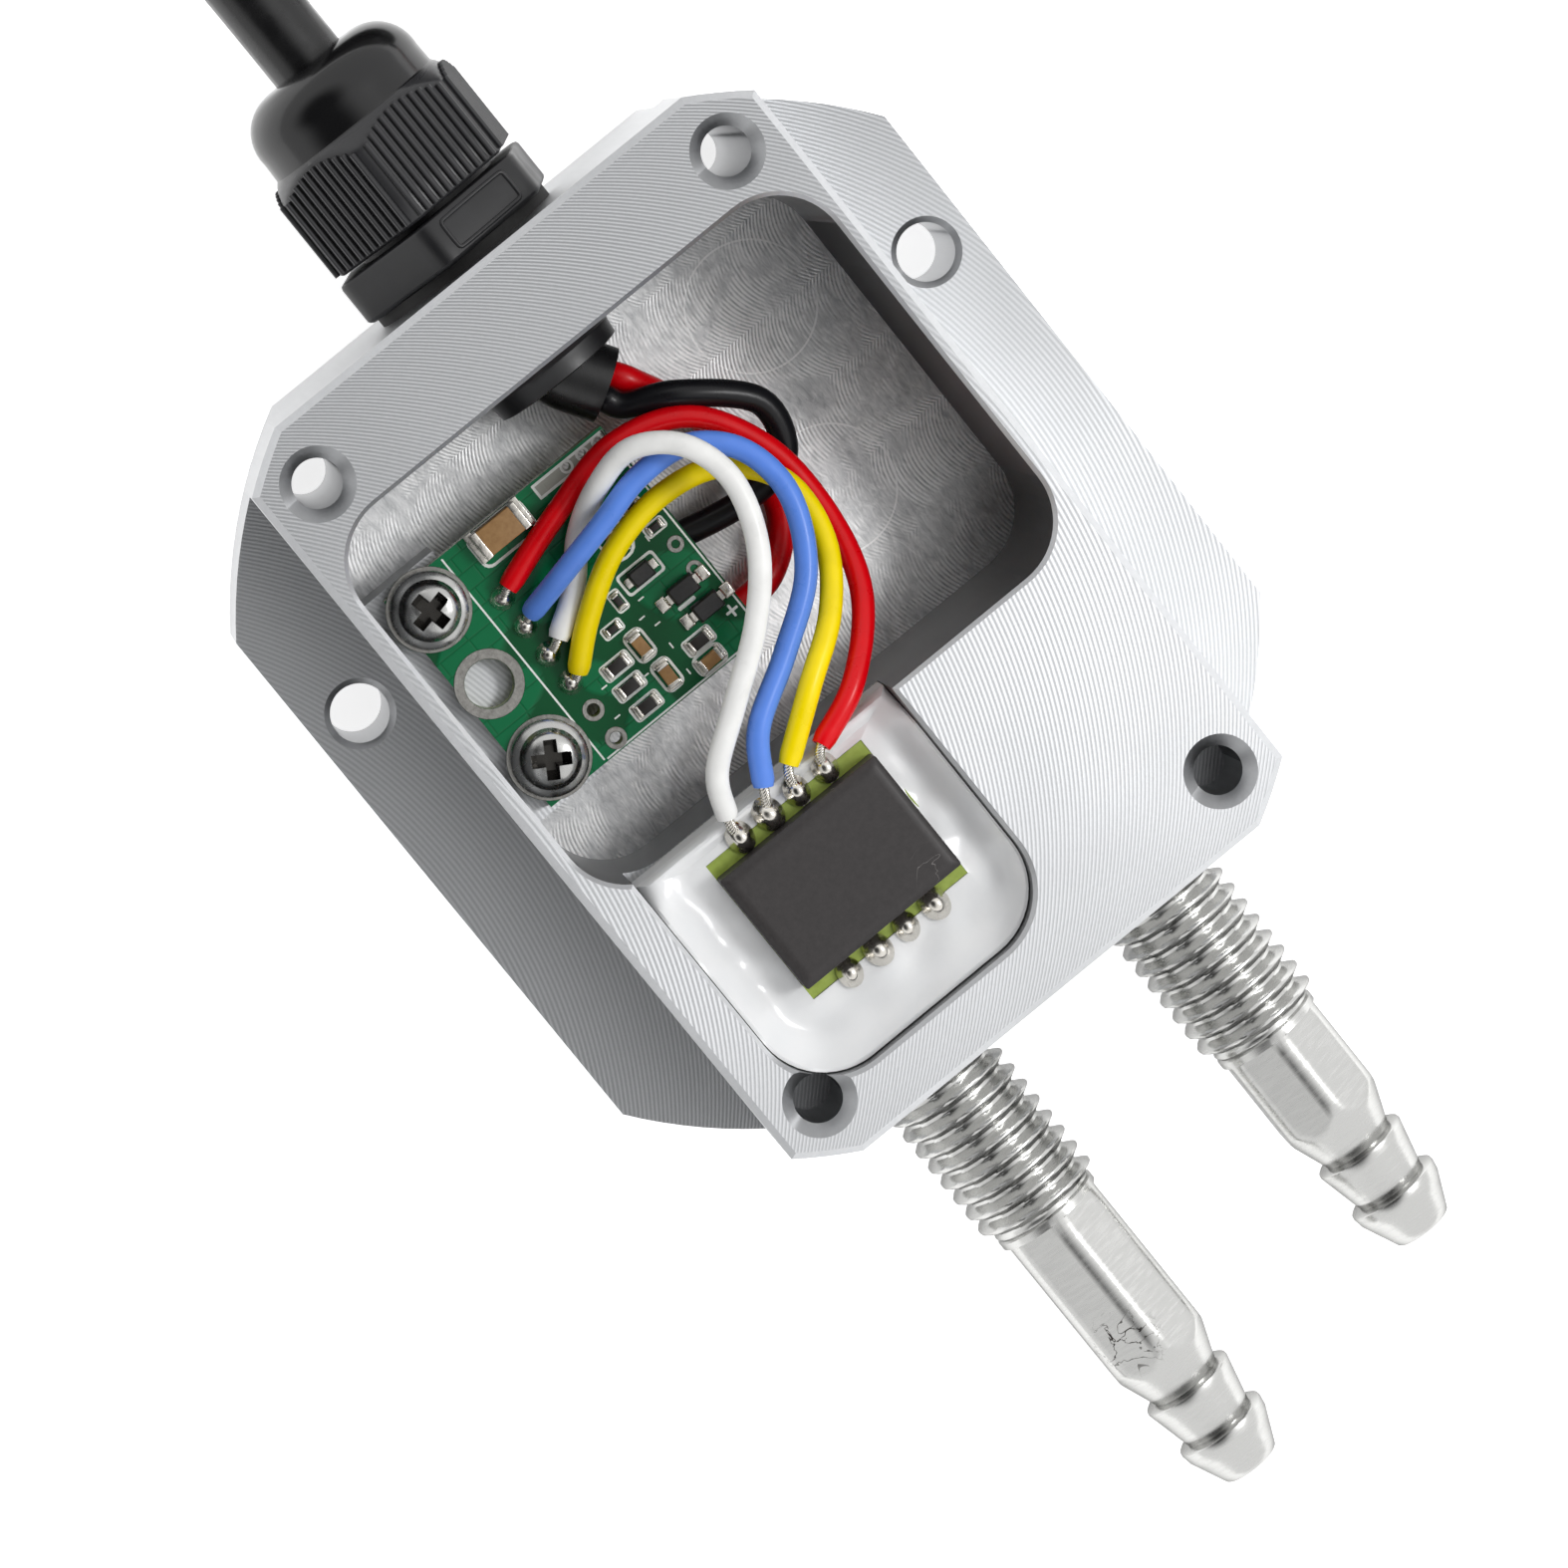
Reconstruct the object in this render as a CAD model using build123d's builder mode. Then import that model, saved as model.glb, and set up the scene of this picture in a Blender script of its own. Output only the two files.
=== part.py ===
from build123d import *
import math
import os

# Housing, milled from one block of aluminium. Z is up from the base, Y runs to the cable gland.
housing_length = 64.6
housing_height = 22.0
platform_width = 44.2
platform_round = 36.9
base_width = 58.6
base_round = 36.4
base_height = 10.0
edge_break = 0.5

# Main pocket and the ledge that carries the board
side_wall = 1.3
gland_wall = 8.3
pocket_corner = 5.0
floor_thickness = 5.0
rim_break = 0.3

# Sensor recess, open to the main pocket
recess_width = 22.4
recess_length = 19.4
recess_side_gap = 2.2
recess_wall = 4.5
recess_corner = 5.5
recess_floor = 14.6

# Screw holes of the cover and of the flange
cover_hole_x = 18.0
cover_hole_y = 27.5
cover_hole = 3.5
cover_hole_depth = 8.0
cover_countersink = 5.3
flange_hole_y = 12.3
flange_hole = 4.2
flange_countersink = 5.1

# Hose barbs and their drillings
barb_spacing = 20.4
barb_height = 8.8
barb_thread = 9.5
barb_thread_length = 14.0
barb_thread_depth = 8.5
barb_thread_break = 0.6
barb_body = 8.3
barb_flats = 7.6
barb_neck = 5.5
barb_ring = 7.2
barb_tip = 4.4
barb_bore = 2.4
barb_cone = 3.75
barb_ring_length = 3.9
barb_ring_step = 0.3
barb_ring_break = 0.15
barb_end_gap = 0.3
barb_flats_inset = 0.8
long_barb_body = 12.9
short_barb_body = 7.5
passage = 2.5
cross_passage_height = 7.0
plug_length = 2.5
plug_sink = 0.8
plug_break = 0.2

# Cable gland
gland_height = 11.0
gland_thread = 12.0
gland_stem_out = 0.8
gland_gasket_thickness = 0.8
gland_gasket_width = 1.4
gland_flats = 15.2
gland_hex_length = 3.4
gland_hex_corner = 0.5
gland_turn = 20.0
gland_bore = 6.2
gland_spigot = 11.2
gland_spigot_length = 6.0
nut_length = 12.9
nut_hex_length = 7.8
nut_rib_pitch = 0.7
nut_rib_depth = 0.3
nut_ribs = 10
nut_dome = 13.6
nut_mouth = 6.1
nut_gap = 0.4
nut_flats = 15.0
nut_corner = 0.85
nut_dome_wall = 0.9
nut_cone_gap = 0.4
claw_count = 8
claw_length = 4.4
claw_ring = 1.0
claw_tip_wall = 0.4
claw_slot = 0.8
seal_wall = 1.5
seal_length = 8.0
seal_seated = 4.8
seal_break = 0.5

# Cable, its free stretch and its coil
cable = 5.5
cable_bend_x = 2.1
cable_stub = 3.8
cable_bend = 4.0
cable_bend_inset = 0.4
coil_x = 30.0
coil_reach = 38.8
coil_turn_middle = 27.5
coil_turn_pitch = 5.4
coil_layer_rise = 4.7
coil_half_width = 8.45
coil_corner = 2.4
core = 2.0
core_gap = 0.2
core_side = 0.85
core_rise = 0.7

# Circuit board
board_side_gap = 1.3
board_end_gap = 6.5
board_width = 19.5
board_length = 18.6
board_thickness = 1.6
board_clearance = 0.3
board_top = 12.0
board_screw_inset = 2.1
board_screw_spacing = 13.4
board_screw_rise = 6.9
board_hole = 3.5
ledge_width = 6.2
pad_inset = 6.6
pad_rise = 4.3
pin_pitch = 2.54
pad_count = 6
pad_hole = 0.9
corner_hole = 0.6
corner_hole_pitch = 1.4
corner_hole_offset = 6.1
corner_hole_rise = 8.6

# Board screws
screw = 2.9
screw_head = 5.6
screw_head_height = 2.0
screw_length = 5.7
screw_point = 0.5
screw_flat = 1.12
screw_recess = 0.8
screw_recess_length = 3.36
screw_recess_depth = 1.1
screw_turn = 20.0

# Pressure sensor
sensor_shift = 0.5
sensor_inset = 7.9
substrate_width = 14.4
substrate_length = 12.0
substrate_thickness = 1.0
substrate_top = 18.6
cap_width = 13.85
cap_length = 9.8
cap_height = 2.4
cap_corner = 0.25
cap_break = 0.15
port_x = 3.2
port_tube = 2.6
port_bore = 1.2
port_length = 4.8
lead_row = 13.3
lead_width = 0.7
lead_thickness = 0.25
lead_leg = 1.2
lead_foot = 0.35

# Wires and solder
signal_wire = 1.65
wire_start_rise = 0.95
wire_end_rise = 1.4
solder_radius = 0.75
lead_solder_radius = 0.8
solder_inset = 0.3
solder_height = 0.7
silicone_drop = 0.1

# Small parts on the board
chip_break = 0.12
lead_strip = 0.1

# Running clearances
thread_clearance = 0.1
slip_clearance = 0.2

half_length = housing_length / 2
pocket_width = platform_width - 2 * side_wall
pocket_top = half_length - gland_wall
pocket_bottom = recess_wall + recess_length - half_length
pocket_length = pocket_top - pocket_bottom
recess_offset = recess_side_gap + recess_width / 2 - pocket_width / 2
flange_hole_x = (platform_width + base_width) / 4
board_bottom = board_top - board_thickness
board_x = -pocket_width / 2 + board_side_gap + board_width / 2
board_y = pocket_top - board_end_gap - board_length / 2
board_screw_y = board_y + board_screw_rise
screw_x = board_x - board_width / 2 + board_screw_inset
pad_x = board_x - board_width / 2 + pad_inset
sensor_x = recess_offset + sensor_shift
sensor_y = pocket_bottom - sensor_inset
gasket_face = half_length + gland_gasket_thickness
hex_end = gasket_face + gland_hex_length
spigot_end = hex_end + gland_spigot_length
nut_start = hex_end + nut_gap
nut_end = nut_start + nut_length
coil_y = nut_end + coil_reach
stem_end = pocket_top - gland_stem_out
port_radius = port_tube / 2 + slip_clearance / 2
ring_plane = Plane((0, 0, gland_height))
gland_axis = Axis((0, 0, gland_height), (0, 1, 0))

os.makedirs("parts", exist_ok=True)


def finish(part, label):
    """Labels a finished piece and writes it under its own name."""
    part.label = label
    export_step(part, f"parts/{label}.step")


def along_y(y, z, x=0):
    """A plane that faces the gland end, with its own x along the housing's X."""
    return Plane(origin=(x, y, z), x_dir=(1, 0, 0), z_dir=(0, 1, 0))


def turned(outline, x, z):
    """A piece turned about an axis along Y, from its outline of (radius, y) points."""
    with BuildPart() as piece:
        with BuildSketch(Plane(origin=(x, 0, z))):
            with BuildLine():
                Polyline(*outline, close=True)
            make_face()
        revolve(axis=Axis((x, 0, z), (0, 1, 0)))
    return piece.part


def corner_radii(points):
    """The largest arcs that the runs on both sides of each corner allow."""
    radii = []
    for before, here, after in zip(points, points[1:], points[2:]):
        run_in = Vector(*here) - Vector(*before)
        run_out = Vector(*after) - Vector(*here)
        half_turn = math.radians(run_in.get_angle(run_out)) / 2
        radii.append(0.45 * min(run_in.length, run_out.length) / math.tan(half_turn))
    return radii


def tube(points, diameter, name):
    """A round tube along straight runs that are joined by tangent arcs."""
    radii = corner_radii(points)
    print(name, "radii", [round(r, 1) for r in radii])
    with BuildPart() as piece:
        with BuildLine() as path:
            FilletPolyline(*points, radius=radii)
        with BuildSketch(Plane(origin=path.line @ 0, z_dir=path.line % 0)):
            Circle(diameter / 2)
        sweep(path=path.line)
    return piece.part


# Housing
with BuildPart() as housing:
    with BuildSketch():
        Rectangle(base_width, housing_length)
        Circle(base_round, mode=Mode.INTERSECT)
    extrude(amount=base_height)
    with BuildSketch(Plane.XY.offset(base_height)):
        Rectangle(platform_width, housing_length)
        Circle(platform_round, mode=Mode.INTERSECT)
    extrude(amount=housing_height - base_height)
    top_edges = housing.faces().sort_by(Axis.Z)[-1].outer_wire().edges()
    chamfer(top_edges, edge_break)
    with BuildSketch(Plane.XY.offset(housing_height)):
        with Locations((0, pocket_top - pocket_length / 2)):
            RectangleRounded(pocket_width, pocket_length, pocket_corner)
    extrude(amount=-(housing_height - floor_thickness), mode=Mode.SUBTRACT)
    with BuildSketch(Plane.XY.offset(housing_height)):
        with Locations((recess_offset, pocket_bottom - recess_length / 2 + recess_corner)):
            RectangleRounded(recess_width, recess_length + 2 * recess_corner, recess_corner)
    extrude(amount=-(housing_height - recess_floor), mode=Mode.SUBTRACT)
    rim = housing.faces().sort_by(Axis.Z)[-1].inner_wires()[0].edges()
    chamfer(rim, rim_break)
    with Locations((-pocket_width / 2 + ledge_width / 2, board_y, floor_thickness)):
        Box(ledge_width, board_length + 1, board_bottom - floor_thickness,
            align=(Align.CENTER, Align.CENTER, Align.MIN))
    with Locations((screw_x, board_screw_y, board_bottom),
                   (screw_x, board_screw_y - board_screw_spacing, board_bottom)):
        Hole(screw / 2 + thread_clearance / 2, depth=screw_length + board_clearance)
    with Locations(*[(x, cover_hole_y, housing_height) for x in (-cover_hole_x, cover_hole_x)]):
        CounterSinkHole(cover_hole / 2, cover_countersink / 2)
    with Locations(*[(x, -cover_hole_y, housing_height) for x in (-cover_hole_x, cover_hole_x)]):
        CounterSinkHole(cover_hole / 2, cover_countersink / 2, depth=cover_hole_depth)
    with Locations(*[(x, flange_hole_y, base_height) for x in (-flange_hole_x, flange_hole_x)]):
        CounterSinkHole(flange_hole / 2, flange_countersink / 2, depth=base_height)
    with BuildSketch(along_y(half_length, gland_height)):
        Circle(gland_thread / 2 + thread_clearance / 2)
    extrude(amount=-gland_wall, mode=Mode.SUBTRACT)
    for x in (-barb_spacing / 2, barb_spacing / 2):
        with BuildSketch(along_y(-half_length, barb_height, x)):
            Circle(barb_thread / 2 + thread_clearance / 2)
        extrude(amount=barb_thread_depth, mode=Mode.SUBTRACT)
        with BuildSketch(along_y(-half_length, barb_height, x)):
            Circle(passage / 2)
        extrude(amount=half_length + sensor_y + passage / 2, mode=Mode.SUBTRACT)
    with Locations((sensor_x - port_x, sensor_y, recess_floor)):
        Hole(port_radius, depth=recess_floor - barb_height)
    with Locations((sensor_x + port_x, sensor_y, recess_floor)):
        Hole(port_radius, depth=recess_floor - cross_passage_height)
    with BuildSketch(Plane(origin=(base_width / 2, sensor_y, cross_passage_height), z_dir=(-1, 0, 0))):
        Circle(passage / 2)
    extrude(amount=base_width / 2 - sensor_x - port_x + passage / 2, mode=Mode.SUBTRACT)
finish(housing.part, "housing")

# Plug that closes the outer end of the cross drilling
with BuildPart() as passage_plug:
    plug_end = base_width / 2 - plug_sink
    with BuildSketch(Plane(origin=(plug_end, sensor_y, cross_passage_height), z_dir=(-1, 0, 0))):
        Circle(passage / 2)
    extrude(amount=plug_length)
    chamfer(passage_plug.edges(), plug_break)
finish(passage_plug.part, "passage_plug")


def hose_barb(x, body_length):
    """A turned hose barb: thread, body with wrench flats, cone, two rings and a bore."""
    inner = -half_length + barb_thread_depth - barb_end_gap
    thread_end = -half_length - barb_thread_length
    body_end = thread_end - body_length
    neck = body_end - barb_cone
    radius = barb_thread / 2
    outline = [
        (barb_bore / 2, inner),
        (radius - barb_thread_break, inner),
        (radius, inner - barb_thread_break),
        (radius, thread_end + barb_thread_break),
        (barb_body / 2, thread_end),
        (barb_body / 2, body_end),
        (barb_neck / 2, neck),
        (barb_ring / 2, neck - barb_ring_step),
        (barb_neck / 2, neck - barb_ring_length),
        (barb_ring / 2, neck - barb_ring_length - barb_ring_step),
        (barb_ring / 2 - barb_ring_break, neck - barb_ring_length - 4 * barb_ring_step),
        (barb_tip / 2, neck - 2 * barb_ring_length),
        (barb_bore / 2, neck - 2 * barb_ring_length),
    ]
    with BuildPart() as piece:
        add(turned(outline, x, barb_height))
        with BuildSketch(along_y(thread_end - barb_flats_inset, barb_height, x)):
            Circle(barb_thread)
            RegularPolygon(barb_flats / 2, 6, major_radius=False, rotation=30, mode=Mode.SUBTRACT)
        extrude(amount=2 * barb_flats_inset - body_length, mode=Mode.SUBTRACT)
    return piece.part


finish(hose_barb(-barb_spacing / 2, long_barb_body), "hose_barb_long")
finish(hose_barb(barb_spacing / 2, short_barb_body), "hose_barb_short")

# Gland gasket, a flat ring under the gland's hexagon
with BuildPart() as gland_gasket:
    with BuildSketch(along_y(half_length, gland_height)):
        Circle(gland_thread / 2 + gland_gasket_width)
        Circle(gland_thread / 2, mode=Mode.SUBTRACT)
    extrude(amount=gland_gasket_thickness)
finish(gland_gasket.part, "gland_gasket")

# Gland body, moulded: threaded stem, hexagon and spigot, with a seat for the seal
seal_radius = cable / 2 + seal_wall
seal_seat = spigot_end - seal_seated
with BuildPart() as gland_body:
    with BuildSketch(along_y(stem_end, gland_height)):
        Circle(gland_thread / 2 - thread_clearance / 2)
    extrude(amount=gasket_face - stem_end)
    with BuildSketch(along_y(gasket_face, gland_height)):
        RegularPolygon(gland_flats / 2, 6, major_radius=False, rotation=30 - gland_turn)
    extrude(amount=gland_hex_length)
    hex_edges = gland_body.edges().filter_by(Axis.Y).group_by(Edge.length)[0]
    fillet(hex_edges.filter_by(lambda e: abs(e.length - gland_hex_length) < 0.01), gland_hex_corner)
    with BuildSketch(along_y(hex_end, gland_height)):
        Circle(gland_spigot / 2)
    extrude(amount=gland_spigot_length)
    with BuildSketch(along_y(stem_end, gland_height)):
        Circle(gland_bore / 2)
    extrude(amount=spigot_end - stem_end, mode=Mode.SUBTRACT)
    with BuildSketch(along_y(spigot_end, gland_height)):
        Circle(seal_radius + thread_clearance / 2)
    extrude(amount=-(spigot_end - seal_seat), mode=Mode.SUBTRACT)
finish(gland_body.part, "gland_body")

# Seal, a rubber sleeve that is squeezed onto the cable
seal_outline = [
    (cable / 2 + thread_clearance / 2, seal_seat),
    (seal_radius, seal_seat),
    (seal_radius, seal_seat + seal_length - seal_break),
    (seal_radius - seal_break, seal_seat + seal_length),
    (cable / 2 + thread_clearance / 2, seal_seat + seal_length),
]
finish(turned(seal_outline, 0, gland_height), "gland_seal")

# Claws, a slotted ring whose fingers the nut's cone bends inwards
claw_inner = seal_radius + thread_clearance
claw_outer = gland_spigot / 2 - thread_clearance
with BuildPart() as clamping_claws:
    claw_outline = [
        (claw_inner, spigot_end),
        (claw_outer, spigot_end),
        (claw_outer, spigot_end + claw_ring - slip_clearance),
        (claw_inner + claw_tip_wall, spigot_end + claw_length),
        (claw_inner, spigot_end + claw_length),
    ]
    add(turned(claw_outline, 0, gland_height))
    with BuildSketch(along_y(spigot_end + claw_ring, gland_height)):
        with PolarLocations(0, claw_count):
            with Locations((gland_spigot / 4, 0)):
                Rectangle(gland_spigot / 2, claw_slot)
    extrude(amount=claw_length, mode=Mode.SUBTRACT)
finish(clamping_claws.part, "clamping_claws")

# Sealing nut: a ribbed hexagon that turns into a dome round the cable
nut_hex_end = nut_start + nut_hex_length
spigot_bore = gland_spigot / 2 + slip_clearance
rib = 1.2 * nut_rib_depth
shoulder = nut_flats / 2 + 1
cone_end = spigot_end + claw_length + nut_cone_gap
dome_foot = (nut_dome / 2, nut_hex_end + 0.3)
dome_side = (nut_dome / 2 - 0.85, nut_hex_end + 3.2)
with BuildPart() as sealing_nut:
    with BuildSketch(along_y(nut_start, gland_height)):
        RegularPolygon(nut_flats / 2, 6, major_radius=False, rotation=30 - gland_turn)
        Circle(nut_flats / 2 + nut_corner, mode=Mode.INTERSECT)
        for face in range(6):
            angle = math.radians(60 * face + 90 - gland_turn)
            for row in range(nut_ribs):
                shift = (row - (nut_ribs - 1) / 2) * nut_rib_pitch
                x = nut_flats / 2 * math.cos(angle) - shift * math.sin(angle)
                y = nut_flats / 2 * math.sin(angle) + shift * math.cos(angle)
                with Locations(Location((x, y, 0), (0, 0, math.degrees(angle) + 45))):
                    Rectangle(rib, rib, mode=Mode.SUBTRACT)
    extrude(amount=nut_length)
    with BuildSketch(ring_plane) as envelope:
        with BuildLine():
            Polyline((0, nut_start), (shoulder, nut_start), (shoulder, nut_hex_end - 0.6), dome_foot)
            dome = ThreePointArc(dome_foot, dome_side, (nut_mouth / 2 + nut_dome_wall, nut_end))
            Polyline(dome @ 1, (0, nut_end), (0, nut_start))
        make_face()
    revolve(axis=gland_axis, mode=Mode.INTERSECT)
    with BuildSketch(ring_plane):
        with BuildLine():
            Polyline(
                (0, nut_start),
                (spigot_bore, nut_start),
                (spigot_bore, spigot_end + claw_ring + thread_clearance),
                (claw_inner + claw_tip_wall + 0.3, cone_end),
                (nut_mouth / 2, cone_end),
                (nut_mouth / 2, nut_end),
                (0, nut_end),
                close=True,
            )
        make_face()
    revolve(axis=gland_axis, mode=Mode.SUBTRACT)
finish(sealing_nut.part, "sealing_nut")

# Cable: the length held in the gland, the free lead, the coil and the tail
bend_start = stem_end - cable_bend_inset
stub_end = (cable_bend_x, stem_end - cable_stub, gland_height)
held_route = [(0, nut_end, gland_height), (0, bend_start, gland_height), stub_end]
with BuildPart() as cable_held:
    with BuildLine() as held_path:
        FilletPolyline(*held_route, radius=cable_bend)
    with BuildSketch(Plane(origin=held_path.line @ 0, z_dir=held_path.line % 0)):
        Circle(cable / 2)
    sweep(path=held_path.line)
finish(cable_held.part, "cable_held")

lead_route = [
    (0, nut_end, gland_height),
    (0, nut_end + 10.7, gland_height),
    (-0.7, nut_end + 20.7, 8.0),
    (-2.0, nut_end + 28.7, 3.8),
    (-2.9, coil_y - 4.0, cable / 2),
]
finish(tube(lead_route, cable, "cable_lead"), "cable_lead")

with BuildPart() as cable_coil:
    with BuildSketch(Plane.XZ):
        with Locations((coil_turn_middle, 0)):
            Rectangle(2 * coil_half_width, cable + coil_layer_rise, align=(Align.CENTER, Align.MIN))
        fillet(vertices(), coil_corner)
    revolve(axis=Axis.Z)
coil_solid = cable_coil.part.moved(Location((coil_x, coil_y, 0)))
finish(coil_solid, "cable_coil")

tail_route = [
    (coil_x + coil_turn_middle + coil_turn_pitch / 2, coil_y - 7.0, 6.2),
    (coil_x + 30.4, coil_y - 17.0, 4.3),
    (coil_x + 29.4, coil_y - 27.0, cable / 2),
    (coil_x + 26.8, coil_y - 36.0, cable / 2),
]
finish(tube(tail_route, cable, "cable_tail"), "cable_tail")

core_spread = core / 2 + core_gap / 2
tail_end = Vector(*tail_route[-1])
tail_run = (tail_end - Vector(*tail_route[-2])).normalized()
across = Vector(-tail_run.Y, tail_run.X, 0)
for colour, side in (("red", 1), ("black", -1)):
    start = tail_end + across * (side * core_spread)
    drop = cable / 2 - core / 2
    core_route = [
        tuple(start),
        tuple(start + tail_run * 5),
        tuple(start + tail_run * 11 + across * (side * 1.6) - Vector(0, 0, drop)),
        tuple(start + tail_run * 17 + across * (side * 2.4) - Vector(0, 0, drop)),
    ]
    finish(tube(core_route, core, "core " + colour), f"cable_core_{colour}")

# Supply wires, from the cable's end under the board's edge
stub_run = (Vector(*stub_end) - Vector(*held_route[1])).normalized()
stub_across = Vector(-stub_run.Y, stub_run.X, 0)
core_offset = stub_across * core_side - Vector(0, 0, core_rise)
black_start = Vector(*stub_end) - core_offset
red_start = Vector(*stub_end) + core_offset
supply_z = board_bottom - core / 2 - board_clearance
supply_end_x = board_x + 8.85
black_joint_y = board_y - 0.4
red_joint_y = board_y - 7.0
straight_start = 1.7
supply_black_route = [
    tuple(black_start),
    tuple(black_start + stub_run * straight_start),
    (board_x + 15.35, board_y + 7.7, 12.9),
    (board_x + 19.55, board_y + 3.6, 11.8),
    (board_x + 18.55, board_y - 0.6, 10.7),
    (board_x + 14.35, board_y - 1.4, 9.5),
    (supply_end_x, black_joint_y, supply_z),
]
supply_red_route = [
    tuple(red_start),
    tuple(red_start + stub_run * straight_start),
    (board_x + 15.35, board_y + 6.2, 7.9),
    (board_x + 16.95, board_y + 0.4, 6.6),
    (board_x + 15.95, board_y - 4.2, 7.0),
    (board_x + 12.65, board_y - 6.8, 8.4),
    (supply_end_x, red_joint_y, supply_z),
]
finish(tube(supply_black_route, core, "supply black"), "supply_wire_black")
finish(tube(supply_red_route, core, "supply red"), "supply_wire_red")

# Signal wires, from the board's pads over to the sensor's first row of leads. Each point is measured
# from the board's centre; the last stretch follows the sensor.
wire_span = 24.5
wire_leave = 9.3
wire_land = 16.4
wire_end_z = substrate_top + wire_end_rise
wire_start_z = board_top + wire_start_rise
signal_routes = {
    "red": [
        (-2.45, 4.7, wire_start_z),
        (3.35, 6.6, 13.3),
        (9.45, 7.9, 13.4),
        (14.95, 6.0, 13.3),
        (17.95, 0.6, 13.2),
        (18.15, -5.8, 13.8),
        (16.35, -11.0, 16.2),
        (11.95, -14.9, 19.2),
        (7.35, -16.8, wire_end_z),
    ],
    "blue": [
        (-2.35, 2.3, wire_start_z),
        (1.15, 3.3, 15.2),
        (5.35, 4.4, 16.8),
        (9.35, 5.4, 17.3),
        (13.35, 5.0, 17.4),
        (16.15, 2.2, 17.6),
        (16.65, -2.2, 17.9),
        (14.15, -7.0, 18.4),
        (9.35, -10.4, 19.2),
        (4.75, -13.1, 20.1),
        (2.45, -16.5, wire_end_z),
    ],
    "white": [
        (-1.95, -0.3, wire_start_z),
        (1.15, 1.8, 13.0),
        (3.65, 4.5, 13.3),
        (6.55, 6.5, 16.3),
        (9.95, 7.4, 18.8),
        (12.95, 5.4, 20.2),
        (14.05, 1.4, 20.4),
        (12.55, -3.2, 20.6),
        (9.15, -7.2, 20.7),
        (4.25, -10.8, 20.8),
        (0.55, -13.6, 20.6),
        (-0.85, -16.6, wire_end_z),
    ],
    "yellow": [
        (-2.35, -3.0, wire_start_z),
        (0.55, -0.4, 14.0),
        (4.75, 2.2, 15.0),
        (9.55, 3.2, 15.2),
        (14.15, 2.2, 15.2),
        (17.15, -1.4, 15.6),
        (16.75, -6.2, 16.6),
        (13.75, -10.2, 18.4),
        (9.35, -13.1, 20.0),
        (4.75, -16.4, wire_end_z),
    ],
}
for colour, route in signal_routes.items():
    stretch = board_y - sensor_y - wire_span
    shares = [min(max((-y - wire_leave) / (wire_land - wire_leave), 0), 1) for x, y, z in route]
    placed = [(board_x + x, board_y + y - stretch * share, z) for (x, y, z), share in zip(route, shares)]
    finish(tube(placed, signal_wire, "signal " + colour), f"signal_wire_{colour}")

# Circuit board with its plated holes
pad_places = [(pad_x, board_y + pad_rise - row * pin_pitch) for row in range(pad_count)]
corner_holes = [(board_x + corner_hole_offset + column * corner_hole_pitch, board_y + corner_hole_rise)
                for column in range(3)]
with BuildPart() as circuit_board:
    with BuildSketch(Plane.XY.offset(board_bottom)):
        with Locations((board_x, board_y)):
            Rectangle(board_width, board_length)
        with Locations(*[(screw_x, board_screw_y - row * board_screw_spacing) for row in range(2)]):
            Circle(screw / 2 + slip_clearance, mode=Mode.SUBTRACT)
        with Locations((screw_x, board_screw_y - board_screw_spacing / 2)):
            Circle(board_hole / 2, mode=Mode.SUBTRACT)
        with Locations(*pad_places):
            Circle(pad_hole / 2, mode=Mode.SUBTRACT)
        with Locations(*corner_holes):
            Circle(corner_hole / 2, mode=Mode.SUBTRACT)
    extrude(amount=board_thickness)
finish(circuit_board.part, "circuit_board")

# Board screws, pan heads with a cross recess
with BuildPart() as one_screw:
    with BuildSketch(Plane.XZ):
        with BuildLine():
            shank = Polyline(
                (screw_flat, screw_head_height),
                (0, screw_head_height),
                (0, -screw_length),
                (screw / 2 - screw_point, -screw_length),
                (screw / 2, screw_point - screw_length),
                (screw / 2, 0),
                (screw_head / 2, 0),
                (screw_head / 2, 0.4 * screw_head_height),
            )
            ThreePointArc(shank @ 1, (0.4 * screw_head, 0.8 * screw_head_height), shank @ 0)
        make_face()
    revolve(axis=Axis.Z)
    with BuildSketch(Plane.XY.offset(screw_head_height)):
        Rectangle(screw_recess_length, screw_recess, rotation=screw_turn)
        Rectangle(screw_recess, screw_recess_length, rotation=screw_turn)
    extrude(amount=-screw_recess_depth, mode=Mode.SUBTRACT)
with BuildPart() as board_screws:
    with Locations(*[(screw_x, board_screw_y - row * board_screw_spacing, board_top) for row in range(2)]):
        add(one_screw.part)
finish(board_screws.part, "board_screws")


def chips(places, length, width, height, gap=0.0):
    """Like small parts, placed from the board's centre, as one group of separate solids."""
    with BuildPart() as group:
        for x, y, turn in places:
            with Locations(Location((board_x + x, board_y + y, board_top + gap), (0, 0, turn))):
                Box(length, width, height, align=(Align.CENTER, Align.CENTER, Align.MIN))
        chamfer(group.edges().group_by(Axis.Z)[-1], chip_break)
    return group.part


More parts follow.
